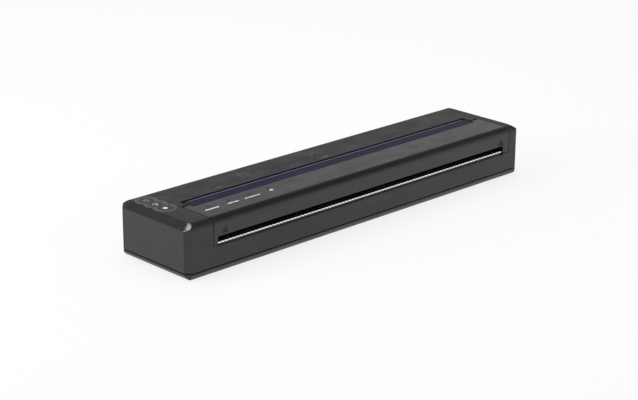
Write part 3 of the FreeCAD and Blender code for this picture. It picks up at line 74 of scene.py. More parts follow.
def camera_axes(azimuth, elevation, roll):
    """The camera's right, up and back directions.

    Back is (sin a cos e, -cos a cos e, sin e); right is level; up is back times right; and the
    roll turns right and up about back."""
    back = Vector((math.sin(azimuth) * math.cos(elevation),
                   -math.cos(azimuth) * math.cos(elevation), math.sin(elevation)))
    level = Vector((math.cos(azimuth), math.sin(azimuth), 0.0))
    rise = back.cross(level)
    right = math.cos(roll) * level + math.sin(roll) * rise
    up = math.cos(roll) * rise - math.sin(roll) * level
    return right, up, back


right, up, back = camera_axes(AZIMUTH, ELEVATION, ROLL)
camera_data = bpy.data.cameras.new("picture_camera")
camera_data.sensor_width = SENSOR
camera_data.lens = FOCAL_PIXELS * SENSOR / PICTURE[0]
camera_data.clip_start = 0.01
camera = bpy.data.objects.new("picture_camera", camera_data)
turn = Matrix((right, up, back)).transposed().to_4x4()
camera.matrix_world = Matrix.Translation(
    AIM + back * DISTANCE + right * SLIDE_RIGHT + up * SLIDE_UP) @ turn
bpy.context.scene.collection.objects.link(camera)
bpy.context.scene.camera = camera
print("lens", round(camera_data.lens, 2), "mm")

# %% [markdown]
# ## Stage and light
#
# The printer stands on a white table in front of white. To the camera, and in mirrored rays, the
# table is mostly plain white; to all other rays it's pale grey. Dark, half-glossy plastic shows
# mostly what it mirrors, so the room matters as much as the lamps: it's white at the horizon and
# grows dim overhead, which leaves the rounded front edge and the end slopes dark. The three large
# lamps aren't mirrored at all. One small lamp hangs where a corner facet of the case mirrors it
# into the camera.

# %% Floor
FLOOR_HALF = 6.0
FLOOR_GREY = 0.86
FLOOR_ROUGHNESS = 0.9
FLOOR_WHITE_SHARE = 0.8


def only_rays(nodes, links, kinds):
    """One where the ray is of one of the kinds, else zero: the greatest of their flags."""
    seen = nodes.new("ShaderNodeLightPath")
    flag = seen.outputs[kinds[0]]
    for kind in kinds[1:]:
        either = nodes.new("ShaderNodeMath")
        either.operation = "MAXIMUM"
        links.new(flag, either.inputs[0])
        links.new(seen.outputs[kind], either.inputs[1])
        flag = either.outputs[0]
    return flag


def floor_material():
    """A pale surface that keeps the shadow, mixed with plain white for seen and mirrored rays."""
    made = bpy.data.materials.new("white_table")
    made.use_nodes = True
    nodes, links = made.node_tree.nodes, made.node_tree.links
    shader = nodes["Principled BSDF"]
    shader.inputs["Base Color"].default_value = (FLOOR_GREY, FLOOR_GREY, FLOOR_GREY, 1)
    shader.inputs["Roughness"].default_value = FLOOR_ROUGHNESS
    glow = nodes.new("ShaderNodeEmission")
    glow.inputs["Strength"].default_value = 1.0
    share = nodes.new("ShaderNodeMath")
    share.operation = "MULTIPLY"
    share.inputs[1].default_value = FLOOR_WHITE_SHARE
    links.new(only_rays(nodes, links, ("Is Camera Ray", "Is Glossy Ray",
                                       "Is Transmission Ray")), share.inputs[0])
    mix = nodes.new("ShaderNodeMixShader")
    links.new(share.outputs[0], mix.inputs["Fac"])
    links.new(shader.outputs[0], mix.inputs[1])
    links.new(glow.outputs[0], mix.inputs[2])
    links.new(mix.outputs[0], nodes["Material Output"].inputs["Surface"])
    return made


floor_corners = FLOOR_HALF * np.array([(-1, -1, 0), (1, -1, 0), (1, 1, 0), (-1, 1, 0)], float)
floor_mesh = bpy.data.meshes.new("table")
floor_mesh.from_pydata(floor_corners.tolist(), [], [(0, 1, 2, 3)])
floor_mesh.materials.append(floor_material())
table = bpy.data.objects.new("table", floor_mesh)
bpy.context.scene.collection.objects.link(table)
print("table", 2 * FLOOR_HALF, "m wide")

# %% Lamps
LAMPS = (
    # name, place in metres, size in metres, power in watts
    ("top_softbox", (0.1, 0.25, 1.0), (1.2, 0.8), 5.0),
    ("left_softbox", (-1.1, 0.5, 0.4), (0.6, 0.6), 9.0),
    ("front_softbox", (-0.1, -1.3, 0.7), (1.4, 0.5), 2.0),
)
# The facet at the front left corner: its middle, and how fast it rises to the right and the rear
CORNER = Vector((-125.3, -25.5, 27.6)) * MM
FACET_END_SLOPE, FACET_SIDE_SLOPE = 0.67, 0.125
FACET_NORMAL = Vector((-FACET_END_SLOPE, -FACET_SIDE_SLOPE, 1.0)).normalized()
GLINT_SIZE, GLINT_POWER = 0.06, 0.25


def mirrored(point, normal):
    """The direction in which a facet sees the camera: 2 (n . v) n - v, with v to the camera."""
    view = (camera.matrix_world.translation - point).normalized()
    return 2 * normal.dot(view) * normal - view


def add_lamp(name, place, size, power):
    """A rectangular area lamp that looks at the printer's middle."""
    data = bpy.data.lights.new(name, "AREA")
    data.shape = "RECTANGLE"
    data.size, data.size_y = size
    data.energy = power
    lamp = bpy.data.objects.new(name, data)
    facing = (AIM - Vector(place)).to_track_quat("-Z", "Y").to_matrix().to_4x4()
    lamp.matrix_world = Matrix.Translation(place) @ facing
    bpy.context.scene.collection.objects.link(lamp)
    return lamp


for lamp in LAMPS:
    add_lamp(*lamp).visible_glossy = False
glint_place = CORNER + mirrored(CORNER, FACET_NORMAL)
add_lamp("corner_lamp", tuple(glint_place), (GLINT_SIZE, GLINT_SIZE), GLINT_POWER)
print("corner lamp at", [round(part, 2) for part in glint_place])

# %% Surroundings
WORLD_GREY = 0.55
# How bright the room is for mirrored rays: the sine of the height angle, and the level there
ROOM_LEVELS = ((0.0, 1.0), (0.22, 0.75), (0.40, 0.45), (0.58, 0.08), (1.0, 0.05))
WHITE = (1, 1, 1, 1)
world = bpy.data.worlds.new("white_room")
bpy.context.scene.world = world
world.use_nodes = True
room, room_links = world.node_tree.nodes, world.node_tree.links
direction = room.new("ShaderNodeTexCoord")
height = room.new("ShaderNodeSeparateXYZ")
room_links.new(direction.outputs["Generated"], height.inputs[0])
fall = room.new("ShaderNodeValToRGB")
stops = fall.color_ramp.elements
while len(stops) < len(ROOM_LEVELS):
    stops.new(1.0)
for stop, (position, grey) in zip(stops, ROOM_LEVELS):
    stop.position = position
    stop.color = (grey, grey, grey, 1)
room_links.new(height.outputs["Z"], fall.inputs["Fac"])


def world_mix(kinds, other, seen):
    """The seen colour for rays of these kinds, and the other for the rest."""
    mix = room.new("ShaderNodeMix")
    mix.data_type = "RGBA"
    room_links.new(only_rays(room, room_links, kinds), mix.inputs["Factor"])
    for name, color in (("A", other), ("B", seen)):
        if isinstance(color, tuple):
            mix.inputs[name].default_value = color
        else:
            room_links.new(color, mix.inputs[name])
    return mix.outputs["Result"]


mirror_level = world_mix(("Is Glossy Ray", "Is Transmission Ray"),
                         (WORLD_GREY, WORLD_GREY, WORLD_GREY, 1), fall.outputs["Color"])
room_links.new(world_mix(("Is Camera Ray",), mirror_level, WHITE),
               room["Background"].inputs["Color"])
bpy.context.scene.view_settings.view_transform = "Standard"
print("room levels", ROOM_LEVELS)

# %% [markdown]
# ## Finishes
#
# A finish starts from one colour and one roughness. What makes it look real is the small
# disorder on top: a grain that the mould leaves, a slow drift of tone, lines from a brush. Each
# helper below adds one such thing, and all of them read the piece's own coordinates in metres,
# so a pattern stays put when the piece moves.

# %% Helpers for finishes
def new_finish(name, color, roughness, metallic=0.0, specular=0.5):
    """A material with its constants set on the shader's own sockets."""
    made = bpy.data.materials.new(name)
    made.use_nodes = True
    shader = made.node_tree.nodes["Principled BSDF"]
    shader.inputs["Base Color"].default_value = (*color, 1)
    shader.inputs["Roughness"].default_value = roughness
    shader.inputs["Metallic"].default_value = metallic
    shader.inputs["Specular IOR Level"].default_value = specular
    return made


def place_on(made, stretch=(1.0, 1.0, 1.0)):
    """The piece's own coordinates, each multiplied by its stretch."""
    nodes, links = made.node_tree.nodes, made.node_tree.links
    where = nodes.new("ShaderNodeTexCoord")
    mapping = nodes.new("ShaderNodeMapping")
    mapping.inputs["Scale"].default_value = stretch
    links.new(where.outputs["Object"], mapping.inputs["Vector"])
    return mapping.outputs["Vector"]


def noise_of(made, per_metre, stretch=(1.0, 1.0, 1.0), detail=3.0):
    """Smooth noise with so many blobs to a metre, between zero and one."""
    texture = made.node_tree.nodes.new("ShaderNodeTexNoise")
    texture.inputs["Scale"].default_value = per_metre
    texture.inputs["Detail"].default_value = detail
    made.node_tree.links.new(place_on(made, stretch), texture.inputs["Vector"])
    return texture.outputs["Fac"]


def cells_of(made, per_metre):
    """Voronoi cells: the distance to the nearest of scattered points."""
    texture = made.node_tree.nodes.new("ShaderNodeTexVoronoi")
    texture.inputs["Scale"].default_value = per_metre
    made.node_tree.links.new(place_on(made), texture.inputs["Vector"])
    return texture


def stripes_of(made, per_metre, direction, sharp=(0.4, 0.6)):
    """Bands across a direction: a sine of the place, cut between two levels.

    The texture's own bands lie pi / (10 scale) apart, so the scale is bands per metre x pi / 10."""
    texture = made.node_tree.nodes.new("ShaderNodeTexWave")
    texture.bands_direction = direction
    texture.inputs["Scale"].default_value = per_metre * math.pi / 10.0
    made.node_tree.links.new(place_on(made), texture.inputs["Vector"])
    return spread(made, texture.outputs["Fac"], 0.0, 1.0, *sharp)


def spread(made, value, low, high, start=0.3, end=0.7):
    """The value between start and end, drawn out to run from low to high."""
    ranger = made.node_tree.nodes.new("ShaderNodeMapRange")
    for name, number in (("From Min", start), ("From Max", end), ("To Min", low), ("To Max", high)):
        ranger.inputs[name].default_value = number
    made.node_tree.links.new(value, ranger.inputs["Value"])
    return ranger.outputs["Result"]


def tint(made, share, first, second, socket="Base Color"):
    """A mix of two colours by a share, sent to the shader; the colours may be sockets."""
    nodes, links = made.node_tree.nodes, made.node_tree.links
    mix = nodes.new("ShaderNodeMix")
    mix.data_type = "RGBA"
    links.new(share, mix.inputs["Factor"])
    for name, color in (("A", first), ("B", second)):
        if isinstance(color, tuple):
            mix.inputs[name].default_value = (*color, 1)
        else:
            links.new(color, mix.inputs[name])
    links.new(mix.outputs["Result"], nodes["Principled BSDF"].inputs[socket])
    return mix.outputs["Result"]


def feed(made, value, socket):
    """Join a value to one of the shader's sockets."""
    made.node_tree.links.new(value, made.node_tree.nodes["Principled BSDF"].inputs[socket])


def relief(made, height, distance, strength=1.0, under=None):
    """A bump of so many metres from a height between zero and one, over an earlier bump."""
    nodes, links = made.node_tree.nodes, made.node_tree.links
    node = nodes.new("ShaderNodeBump")
    node.inputs["Distance"].default_value = distance
    node.inputs["Strength"].default_value = strength
    links.new(height, node.inputs["Height"])
    if under is not None:
        links.new(under, node.inputs["Normal"])
    links.new(node.outputs["Normal"], nodes["Principled BSDF"].inputs["Normal"])
    return node.outputs["Normal"]


# %% [markdown]
# ### Moulded skins
#
# The case and cover are moulded in dark ABS against spark-eroded steel, which leaves a fine,
# even grain. We use a fine noise for that, and two slow ones for the drift of tone and of polish.
# The cover is smoother than the case and mirrors more of the room, so it looks a shade paler.

# %% Dark plastics
# How many blobs to a metre the noises have, for the tone, the polish and the grain
TONE_BLOBS, POLISH_BLOBS, GRAIN_BLOBS = 22.0, 70.0, 3200.0


def moulded(name, color, roughness, grain=0.012, drift=0.12, specular=0.4):
    """Grained plastic: colour and roughness drift slowly, and a fine noise gives the grain."""
    made = new_finish(name, color, roughness, specular=specular)
    slow = noise_of(made, TONE_BLOBS, detail=2.0)
    paler = tuple(part * (1 + drift) for part in color)
    darker = tuple(part * (1 - drift) for part in color)
    tint(made, spread(made, slow, 0.0, 1.0), darker, paler)
    rubbed = noise_of(made, POLISH_BLOBS, (1.0, 2.0, 2.0), 4.0)
    feed(made, spread(made, rubbed, roughness - 0.05, roughness + 0.06), "Roughness")
    relief(made, noise_of(made, GRAIN_BLOBS, detail=1.0), grain * MM)
    return made


case_plastic = moulded("case_plastic", (0.018, 0.0165, 0.0172), 0.47, specular=0.5)
cover_plastic = moulded("cover_plastic", (0.016, 0.015, 0.016), 0.31, specular=0.5)
# Paler than the case: painted light, to lift the shaded inside of the outlet slot
inner_plastic = moulded("inner_plastic", (0.028, 0.027, 0.028), 0.5, drift=0.2)
key_gloss = moulded("key_gloss", (0.014, 0.013, 0.014), 0.26, grain=0.002, specular=0.45)
key_plastic = moulded("key_plastic", (0.012, 0.011, 0.012), 0.34, grain=0.006, specular=0.3)
lamp_plastic = moulded("lamp_plastic", (0.006, 0.006, 0.007), 0.3, grain=0.0, specular=0.06)
print("dark plastics ready")

# %% [markdown]
# ### Strip and marks
#
# The blue strip that leads paper into the slot is a separate satin moulding with draw lines
# along it. The printed marks are thin inks, white, grey, green and dark, a little uneven at this
# size. The grey also colours the bead on the key recess's edge, where it is a painted highlight.

# %% Strip and ink
strip_blue = new_finish("strip_blue", (0.012, 0.015, 0.040), 0.36, specular=0.02)
tint(strip_blue, spread(strip_blue, noise_of(strip_blue, 40.0), 0.0, 1.0),
     (0.010, 0.013, 0.034), (0.014, 0.017, 0.046))
DRAW_LINES, LINES_ALONG_X = 900.0, (0.02, 1.0, 1.0)
relief(strip_blue, noise_of(strip_blue, DRAW_LINES, LINES_ALONG_X, 2.0), 0.006 * MM)


def ink(name, color, roughness=0.6):
    """Pad-printed ink: one colour that thins in small blotches."""
    made = new_finish(name, color, roughness)
    thin = tuple(0.82 * part for part in color)
    tint(made, spread(made, noise_of(made, 2500.0, detail=2.0), 0.0, 1.0), thin, color)
    relief(made, noise_of(made, 5000.0), 0.004 * MM)
    return made


white_ink = ink("white_ink", (0.72, 0.71, 0.72))
# This grey serves the deck's print and also the painted highlight on the key recess's edge
grey_ink_and_painted_edge_highlight = ink("grey_ink_and_painted_edge_highlight", (0.20, 0.19, 0.20))
green_ink = ink("green_ink", (0.22, 0.48, 0.22))
dark_ink = ink("dark_ink", (0.008, 0.008, 0.009))
print("strip and inks ready")

# %% [markdown]
# ### Metals
#
# Each metal gets the lines of the process that made it: the tear bar and shafts are ground along
# their length, the chassis is galvanised sheet with its crystals, and the brass pinion is turned.

# %% Ground, galvanised and turned metal
def ground(name, color, roughness, lines=(0.01, 1.0, 1.0), per_metre=4000.0, depth=0.003):
    """Metal with fine lines along one axis: a noise drawn out many times that way."""
    made = new_finish(name, color, roughness, metallic=1.0)
    scratch = noise_of(made, per_metre, lines, 3.0)
    feed(made, spread(made, scratch, roughness - 0.08, roughness + 0.1), "Roughness")
    dull = tuple(0.86 * part for part in color)
    tint(made, spread(made, noise_of(made, 60.0), 0.0, 1.0), dull, color)
    relief(made, scratch, depth * MM)
    return made


tear_steel = ground("tear_steel", (0.95, 0.94, 0.93), 0.24)
bright_steel = ground("bright_steel", (0.62, 0.62, 0.63), 0.22)
screw_steel = ground("screw_steel", (0.24, 0.235, 0.23), 0.36, (1.0, 1.0, 1.0), 1500.0)
brass_metal = ground("brass_metal", (0.74, 0.54, 0.24), 0.28)
head_aluminium = ground("head_aluminium", (0.72, 0.73, 0.74), 0.38)

sheet_steel = new_finish("sheet_steel", (0.55, 0.56, 0.57), 0.42, metallic=1.0)
spangle = cells_of(sheet_steel, 260.0)
tone = sheet_steel.node_tree.nodes.new("ShaderNodeSeparateColor")
sheet_steel.node_tree.links.new(spangle.outputs["Color"], tone.inputs[0])
tint(sheet_steel, tone.outputs[0], (0.46, 0.47, 0.48), (0.62, 0.63, 0.64))
feed(sheet_steel, spread(sheet_steel, tone.outputs[1], 0.34, 0.5, 0.0, 1.0), "Roughness")
relief(sheet_steel, noise_of(sheet_steel, 1200.0), 0.004 * MM)
print("metals ready")

# %% [markdown]
# ### Rubber, gears, boards and cells
#
# The remaining finishes are inside: ground rubber on the roller, pale acetal gears, green boards
# with their tracks, the glazed ceramic of the thermal head, the striped cable film, and the
# shrink film round the cells. They show when the cover is up or the pack is out.

# %% Rubber and acetal
black_rubber = new_finish("black_rubber", (0.016, 0.016, 0.017), 0.72, specular=0.3)
relief(black_rubber, noise_of(black_rubber, 2600.0, detail=2.0), 0.02 * MM)
tint(black_rubber, spread(black_rubber, noise_of(black_rubber, 90.0), 0.0, 1.0),
     (0.013, 0.013, 0.014), (0.022, 0.022, 0.023))
gear_plastic = moulded("gear_plastic", (0.66, 0.64, 0.56), 0.36, grain=0.004, drift=0.05,
                       specular=0.5)
gear_shader = gear_plastic.node_tree.nodes["Principled BSDF"]
gear_shader.inputs["Subsurface Weight"].default_value = 0.1
gear_shader.inputs["Subsurface Scale"].default_value = MM
print("rubber and acetal ready")

# %% Boards and their parts
circuit_board = new_finish("circuit_board", (0.010, 0.075, 0.030), 0.30)
tracks = circuit_board.node_tree.nodes.new("ShaderNodeTexBrick")
tracks.inputs["Scale"].default_value = 170.0
tracks.inputs["Mortar Size"].default_value = 0.035
tracks.inputs["Color1"].default_value = (0.008, 0.062, 0.026, 1)
tracks.inputs["Color2"].default_value = (0.012, 0.085, 0.034, 1)
tracks.inputs["Mortar"].default_value = (0.030, 0.150, 0.055, 1)
circuit_board.node_tree.links.new(place_on(circuit_board), tracks.inputs["Vector"])
pads = cells_of(circuit_board, 420.0).outputs["Distance"]
tint(circuit_board, spread(circuit_board, pads, 1.0, 0.0, 0.10, 0.13), tracks.outputs["Color"],
     (0.52, 0.42, 0.22))
relief(circuit_board, tracks.outputs["Fac"], 0.02 * MM)

board_parts = moulded("board_parts", (0.014, 0.014, 0.015), 0.42, grain=0.008, drift=0.25)
head_resin = moulded("head_resin", (0.010, 0.010, 0.011), 0.20, grain=0.010)
head_ceramic = new_finish("head_ceramic", (0.66, 0.64, 0.60), 0.22)
tint(head_ceramic, stripes_of(head_ceramic, 1500.0, "X"), (0.66, 0.64, 0.60), (0.50, 0.40, 0.26))
cable_film = new_finish("cable_film", (0.70, 0.69, 0.66), 0.40)
tint(cable_film, stripes_of(cable_film, 800.0, "X"), (0.70, 0.69, 0.66), (0.42, 0.41, 0.40))
relief(cable_film, stripes_of(cable_film, 800.0, "X", (0.2, 0.8)), 0.03 * MM)
cell_wrap = new_finish("cell_wrap", (0.015, 0.10, 0.30), 0.28)
tint(cell_wrap, spread(cell_wrap, noise_of(cell_wrap, 50.0), 0.0, 1.0),
     (0.012, 0.085, 0.26), (0.020, 0.12, 0.34))
relief(cell_wrap, noise_of(cell_wrap, 350.0, (1.0, 0.3, 0.3), 2.0), 0.05 * MM)
print("boards, head, cable and cells ready")

# %% [markdown]
# ### Which piece gets which finish
#
# Every part of the fixed model gets one of the finishes above. A table reads better than fifty
# statements, and the check under it says at once if a part was forgotten.

# %% Dress the fixed parts
DRESS = {
    case_plastic: ("upper_case", "bottom_tray", "battery_casing", "battery_lid"),
    cover_plastic: ("release_cover",),
    inner_plastic: ("cover_inner_frame", "inlet_guide", "outlet_guide"),
    strip_blue: ("slot_strip",),
    key_gloss: ("keypad_bezel",),
    key_plastic: ("power_key", "feed_key", "function_key"),
    lamp_plastic: ("indicator_light_pipes",),
    circuit_board: ("main_board", "key_board", "port_board", "indicator_board"),
    board_parts: ("board_components", "key_switches", "head_connector", "power_socket"),
    tear_steel: ("tear_bar",),
    bright_steel: ("platen_shaft", "motor_shaft", "hinge_pins", "head_pivot_pins", "gear_studs",
                   "usb_socket", "motor_can", "head_springs"),
    screw_steel: ("case_screws", "chassis_screws", "board_screws", "motor_screws",
                  "cover_screws"),
    sheet_steel: ("chassis_frame",),
    black_rubber: ("rubber_feet", "platen_rubber"),
    gear_plastic: ("platen_gear", "idler_gear", "reduction_gear", "platen_bushings"),
    brass_metal: ("motor_pinion", "battery_terminals"),
    head_aluminium: ("head_heatsink",),
    head_ceramic: ("head_substrate",),
    head_resin: ("head_driver_cover",),
    cable_film: ("head_ribbon",),
    cell_wrap: ("battery_cells",),
}
dressed = set()
for finish, names in DRESS.items():
    for name in names:
        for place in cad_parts[name].material_slots:
            place.material = finish
        dressed.add(name)
print("undressed parts:", sorted(set(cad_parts) - dressed))

# %% [markdown]
# ## Surfaces from arrays
#
# The small pieces are computed surfaces. Each is a grid of points: a profile turned about an axis,
# a round bead carried along a path, or a rim raised to a plate. We work them out in millimetres
# with numpy, whole arrays at a time, and turn them to metres when the mesh is made.

# %% Grids and pieces
SHARP_ANGLE = math.radians(32)


def box_mm(name):
    """A part's lowest and highest corners in millimetres."""
    return tuple(np.array(corner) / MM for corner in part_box(name))


def points_mm(name):
    """The corners of a part's own mesh in millimetres."""
    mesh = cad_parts[name].data
    flat = np.empty(len(mesh.vertices) * 3)
    mesh.vertices.foreach_get("co", flat)
    return flat.reshape(-1, 3) / MM


def grid_faces(rows, columns, close_rows=False, close_columns=False):
    """The quads of a grid: (r, c), (r, c+1), (r+1, c+1), (r+1, c), wrapped where it closes."""
    r, c = np.meshgrid(np.arange(rows if close_rows else rows - 1),
                       np.arange(columns if close_columns else columns - 1), indexing="ij")
    below, beside = (r + 1) % rows, (c + 1) % columns
    corners = (r * columns + c, r * columns + beside, below * columns + beside, below * columns + c)
    return np.stack(corners, -1).reshape(-1, 4)


def end_fans(rows, columns):
    """Triangles from two poles, the points after the grid, to its first and its last row."""
    ring = np.arange(columns)
    ahead = (ring + 1) % columns
    last = (rows - 1) * columns
    pole = np.full(columns, rows * columns)
    return (np.stack([pole, ahead, ring], -1), np.stack([pole + 1, ring + last, ahead + last], -1))


def piece_from(name, shells, body, finish, smooth=False):
    """One object out of closed shells, each given as points and as arrays of corners."""
    starts = np.cumsum([0] + [len(shell[0]) for shell in shells[:-1]])
    faces = [row for shell, start in zip(shells, starts) for corners in shell[1]
             for row in (corners + start).tolist()]
    mesh = bpy.data.meshes.new(name)
    mesh.from_pydata((np.concatenate([shell[0] for shell in shells]) * MM).tolist(), [], faces)
    mesh.materials.append(finish)
    mesh.polygons.foreach_set("use_smooth", np.full(len(faces), smooth))
    if smooth:
        mesh.set_sharp_from_angle(angle=SHARP_ANGLE)
    made = bpy.data.objects.new(name, mesh)
    bpy.context.scene.collection.objects.link(made)
    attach(made, body)
    print(name, len(shells), "shells", len(faces), "faces")
    return made


case_low, case_high = box_mm("upper_case")
HALF_LENGTH, REAR, TOP = case_high
FRONT = case_low[1]
print("case: half length, front, rear and top", [round(float(part), 2) for part in (
    HALF_LENGTH, FRONT, REAR, TOP)])

# %% Turned forms
FACINGS = {"+Z": ((1, 0, 0), (0, 1, 0), (0, 0, 1)), "-Z": ((1, 0, 0), (0, -1, 0), (0, 0, -1)),
           "+X": ((0, 1, 0), (0, 0, 1), (1, 0, 0))}


def turned(profile, centre, count=32, facing="+Z", lobes=None):
    """A turned form: (r cos a, r sin a, h) for each (r, h) of the profile, from pole to pole.

    lobes, where given, is how much each row's radius swells and shrinks six times a turn:
    r (1 + k cos 6a)."""
    radii, heights = np.array(profile, float).T
    angles = np.arange(count) * (2 * np.pi / count)
    swell = np.zeros(len(radii)) if lobes is None else np.array(lobes, float)
    reach = radii[:, None] * (1 + swell[:, None] * np.cos(6 * angles))
    rows = np.stack([reach * np.cos(angles), reach * np.sin(angles),
                     np.broadcast_to(heights[:, None], reach.shape)], -1).reshape(-1, 3)
    poles = np.array([(0, 0, heights[0]), (0, 0, heights[-1])])
    points = np.concatenate([rows, poles]) @ np.array(FACINGS[facing], float) + np.array(centre)
    return points, [grid_faces(len(radii), count, False, True), *end_fans(len(radii), count)]


# %% Beads
def bead(path, radius, closed=False, sides=10, squat=1.0, up=(0, 0, 1)):
    """A round bead along a path: path + r (cos a across + sin a squat up).

    Across is the path's direction times up. An open bead narrows to a round end over its own
    radius: r sqrt(1 - (1 - d / r)^2) at a distance d from the end."""
    path = np.array(path, float)
    ahead = np.roll(path, -1, 0) - np.roll(path, 1, 0)
    if not closed:
        ahead[0], ahead[-1] = path[1] - path[0], path[-1] - path[-2]
    ahead /= np.linalg.norm(ahead, axis=1)[:, None]
    up = np.array(up, float)
    across = np.cross(ahead, up)
    across /= np.linalg.norm(across, axis=1)[:, None]
    walked = np.concatenate([[0], np.cumsum(np.linalg.norm(np.diff(path, axis=0), axis=1))])
    to_end = np.minimum(walked, walked[-1] - walked)
    thin = np.sqrt(np.clip(1 - (1 - np.minimum(to_end / radius, 1)) ** 2, 0.02, 1))
    reach = radius * (np.ones(len(path)) if closed else thin)
    angles = np.arange(sides) * (2 * np.pi / sides)
    points = (path[:, None] + reach[:, None, None] * (
        np.cos(angles)[None, :, None] * across[:, None]
        + squat * np.sin(angles)[None, :, None] * up)).reshape(-1, 3)
    faces = grid_faces(len(path), sides, closed, True)
    if closed:
        return points, [faces]
    return np.concatenate([points, path[:1], path[-1:]]), [faces, *end_fans(len(path), sides)]


# %% Plates and their rims
def plate(rim, low, high):
    """A thin plate: a rim in plan, given anticlockwise, at two heights, with a fan on each side."""
    rim = np.array(rim, float)
    rows = [np.column_stack([rim, np.full(len(rim), height)]) for height in (low, high)]
    poles = [(*rim.mean(0), low), (*rim.mean(0), high)]
    return np.concatenate([*rows, poles]), [grid_faces(2, len(rim), False, True),
                                            *end_fans(2, len(rim))]


def arc(centre, radius, start, end, count=16):
    """Points on part of a circle, by angles in degrees."""
    angles = np.radians(np.linspace(start, end, count))
    return np.column_stack([centre[0] + radius * np.cos(angles),
                            centre[1] + radius * np.sin(angles)])


def stroke(start, end, width):
    """The rim of a bar with round ends: a half circle at each end, square to the bar."""
    lean = math.degrees(math.atan2(end[1] - start[1], end[0] - start[0]))
    return np.concatenate([arc(end, width / 2, lean - 90, lean + 90),
                           arc(start, width / 2, lean + 90, lean + 270)])


def raised(path, height):
    """A plan path at one height."""
    return np.column_stack([path, np.full(len(path), height)])


# %% [markdown]
# ## The case's ends
#
# The mould gives the case a plain slope at each end and a small facet at every top corner. In the
# picture the slope's foot lies a little lower than on the solid part, and the facet is smoother
# than the rest, so it shines; its colour is also a little paler than the case, a painted highlight.
# We copy the case, join its loose triangles, cut the copy by six planes, close each cut, and let
# the copy stand for the case.

# %% Slopes and facets
END_RUN, END_DROP = 4.4, 3.2
FACET_DROP = 3.7
JOIN_REACH, CUT_REACH = 0.002 * MM, 0.0001 * MM
CASE_SHARP = math.radians(20)
# The facet is smoother than the case, and its paler colour is a painted highlight added to the
# corner lamp's glint
facet_polish_and_painted_highlight = new_finish("facet_polish_and_painted_highlight", (0.03, 0.029, 0.029), 0.17)
tint(facet_polish_and_painted_highlight, spread(facet_polish_and_painted_highlight, noise_of(facet_polish_and_painted_highlight, 900.0), 0.0, 1.0),
     (0.024, 0.023, 0.023), (0.036, 0.035, 0.035))
relief(facet_polish_and_painted_highlight, noise_of(facet_polish_and_painted_highlight, 1500.0, detail=1.0), 0.001 * MM)


def cut_by(work, point, normal):
    """Takes away what lies beyond a plane, closes the cut and gives its new faces."""
    cut = bmesh.ops.bisect_plane(work, geom=work.verts[:] + work.edges[:] + work.faces[:],
                                 dist=CUT_REACH, plane_co=Vector(point) * MM,
                                 plane_no=normal, clear_outer=True)
    edges = [item for item in cut["geom_cut"] if isinstance(item, bmesh.types.BMEdge)]
    return bmesh.ops.holes_fill(work, edges=edges, sides=0)["faces"]


work = bmesh.new()
work.from_mesh(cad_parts["upper_case"].data)
bmesh.ops.remove_doubles(work, verts=work.verts[:], dist=JOIN_REACH)
for side_x in (-1, 1):
    cut_by(work, (side_x * HALF_LENGTH, 0, TOP - END_DROP), (side_x * END_DROP, 0, END_RUN))
for side_x in (-1, 1):
    for side_y in (-1, 1):
        corner = (side_x * HALF_LENGTH, REAR if side_y > 0 else FRONT, TOP - FACET_DROP)
        for face in cut_by(work, corner, (side_x * FACET_END_SLOPE, side_y * FACET_SIDE_SLOPE, 1)):
            face.material_index = 1
bmesh.ops.triangulate(work, faces=[face for face in work.faces if len(face.verts) > 4])
case_mesh = bpy.data.meshes.new("case_skin")
work.to_mesh(case_mesh)
open_edges = sum(1 for edge in work.edges if len(edge.link_faces) != 2)
work.free()
case_mesh.materials.append(case_plastic)
case_mesh.materials.append(facet_polish_and_painted_highlight)
for old in [layer.name for layer in case_mesh.attributes if "normal" in layer.name]:
    case_mesh.attributes.remove(case_mesh.attributes[old])
facet_of = np.empty(len(case_mesh.polygons), np.int32)
case_mesh.polygons.foreach_get("material_index", facet_of)
case_mesh.polygons.foreach_set("use_smooth", facet_of == 0)
case_mesh.set_sharp_from_angle(angle=CASE_SHARP)
case_skin = bpy.data.objects.new("case_skin", case_mesh)
bpy.context.scene.collection.objects.link(case_skin)
flatten = case_skin.modifiers.new("flat_faces_stay_flat", "WEIGHTED_NORMAL")
flatten.keep_sharp = True
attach(case_skin, "case")
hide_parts("upper_case")
print("case_skin faces", len(case_mesh.polygons), "open edges", open_edges)

# %% [markdown]
# ## Printed marks
#
# Beside three of the lights stand small white bars, whole or in parts, and beside the fourth a
# dot. Marks of this kind are pad printed, so each is a plate a few hundredths of a millimetre
# thick, which rides on the cover.

# %% Bars beside the lights
INK = 0.03
LABEL_Y, LABEL_HEIGHT, LABEL_GAP = -15.1, 1.25, 0.25
LIGHT_DOT, LIGHT_DOT_RADIUS = (-58.8, -14.2), 1.15
# Each bar's left and right end, and how many parts it has
LABELS = ((-105.2, -95.8, 1), (-89.8, -82.2, 2), (-78.0, -67.4, 5))
label_shells = []
for label_start, label_end, parts in LABELS:
    step = (label_end - label_start) / parts
    gap = LABEL_GAP if parts > 1 else 0
    for k in range(parts):
        left = label_start + step * k + LABEL_HEIGHT / 2
        bar = stroke((left, LABEL_Y), (left + step - LABEL_HEIGHT - gap, LABEL_Y), LABEL_HEIGHT)
        label_shells.append(plate(bar, TOP - INK, TOP + INK))
label_shells.append(plate(arc(LIGHT_DOT, LIGHT_DOT_RADIUS, 0, 345, 24), TOP - INK, TOP + INK))
piece_from("light_legends", label_shells, "cover", white_ink)

# %% [markdown]
# The rear deck shows where the sheet goes in: a dash and a chevron at the middle of its width, the
# outline of a sheet and a short dash. They're printed in grey and hardly show.

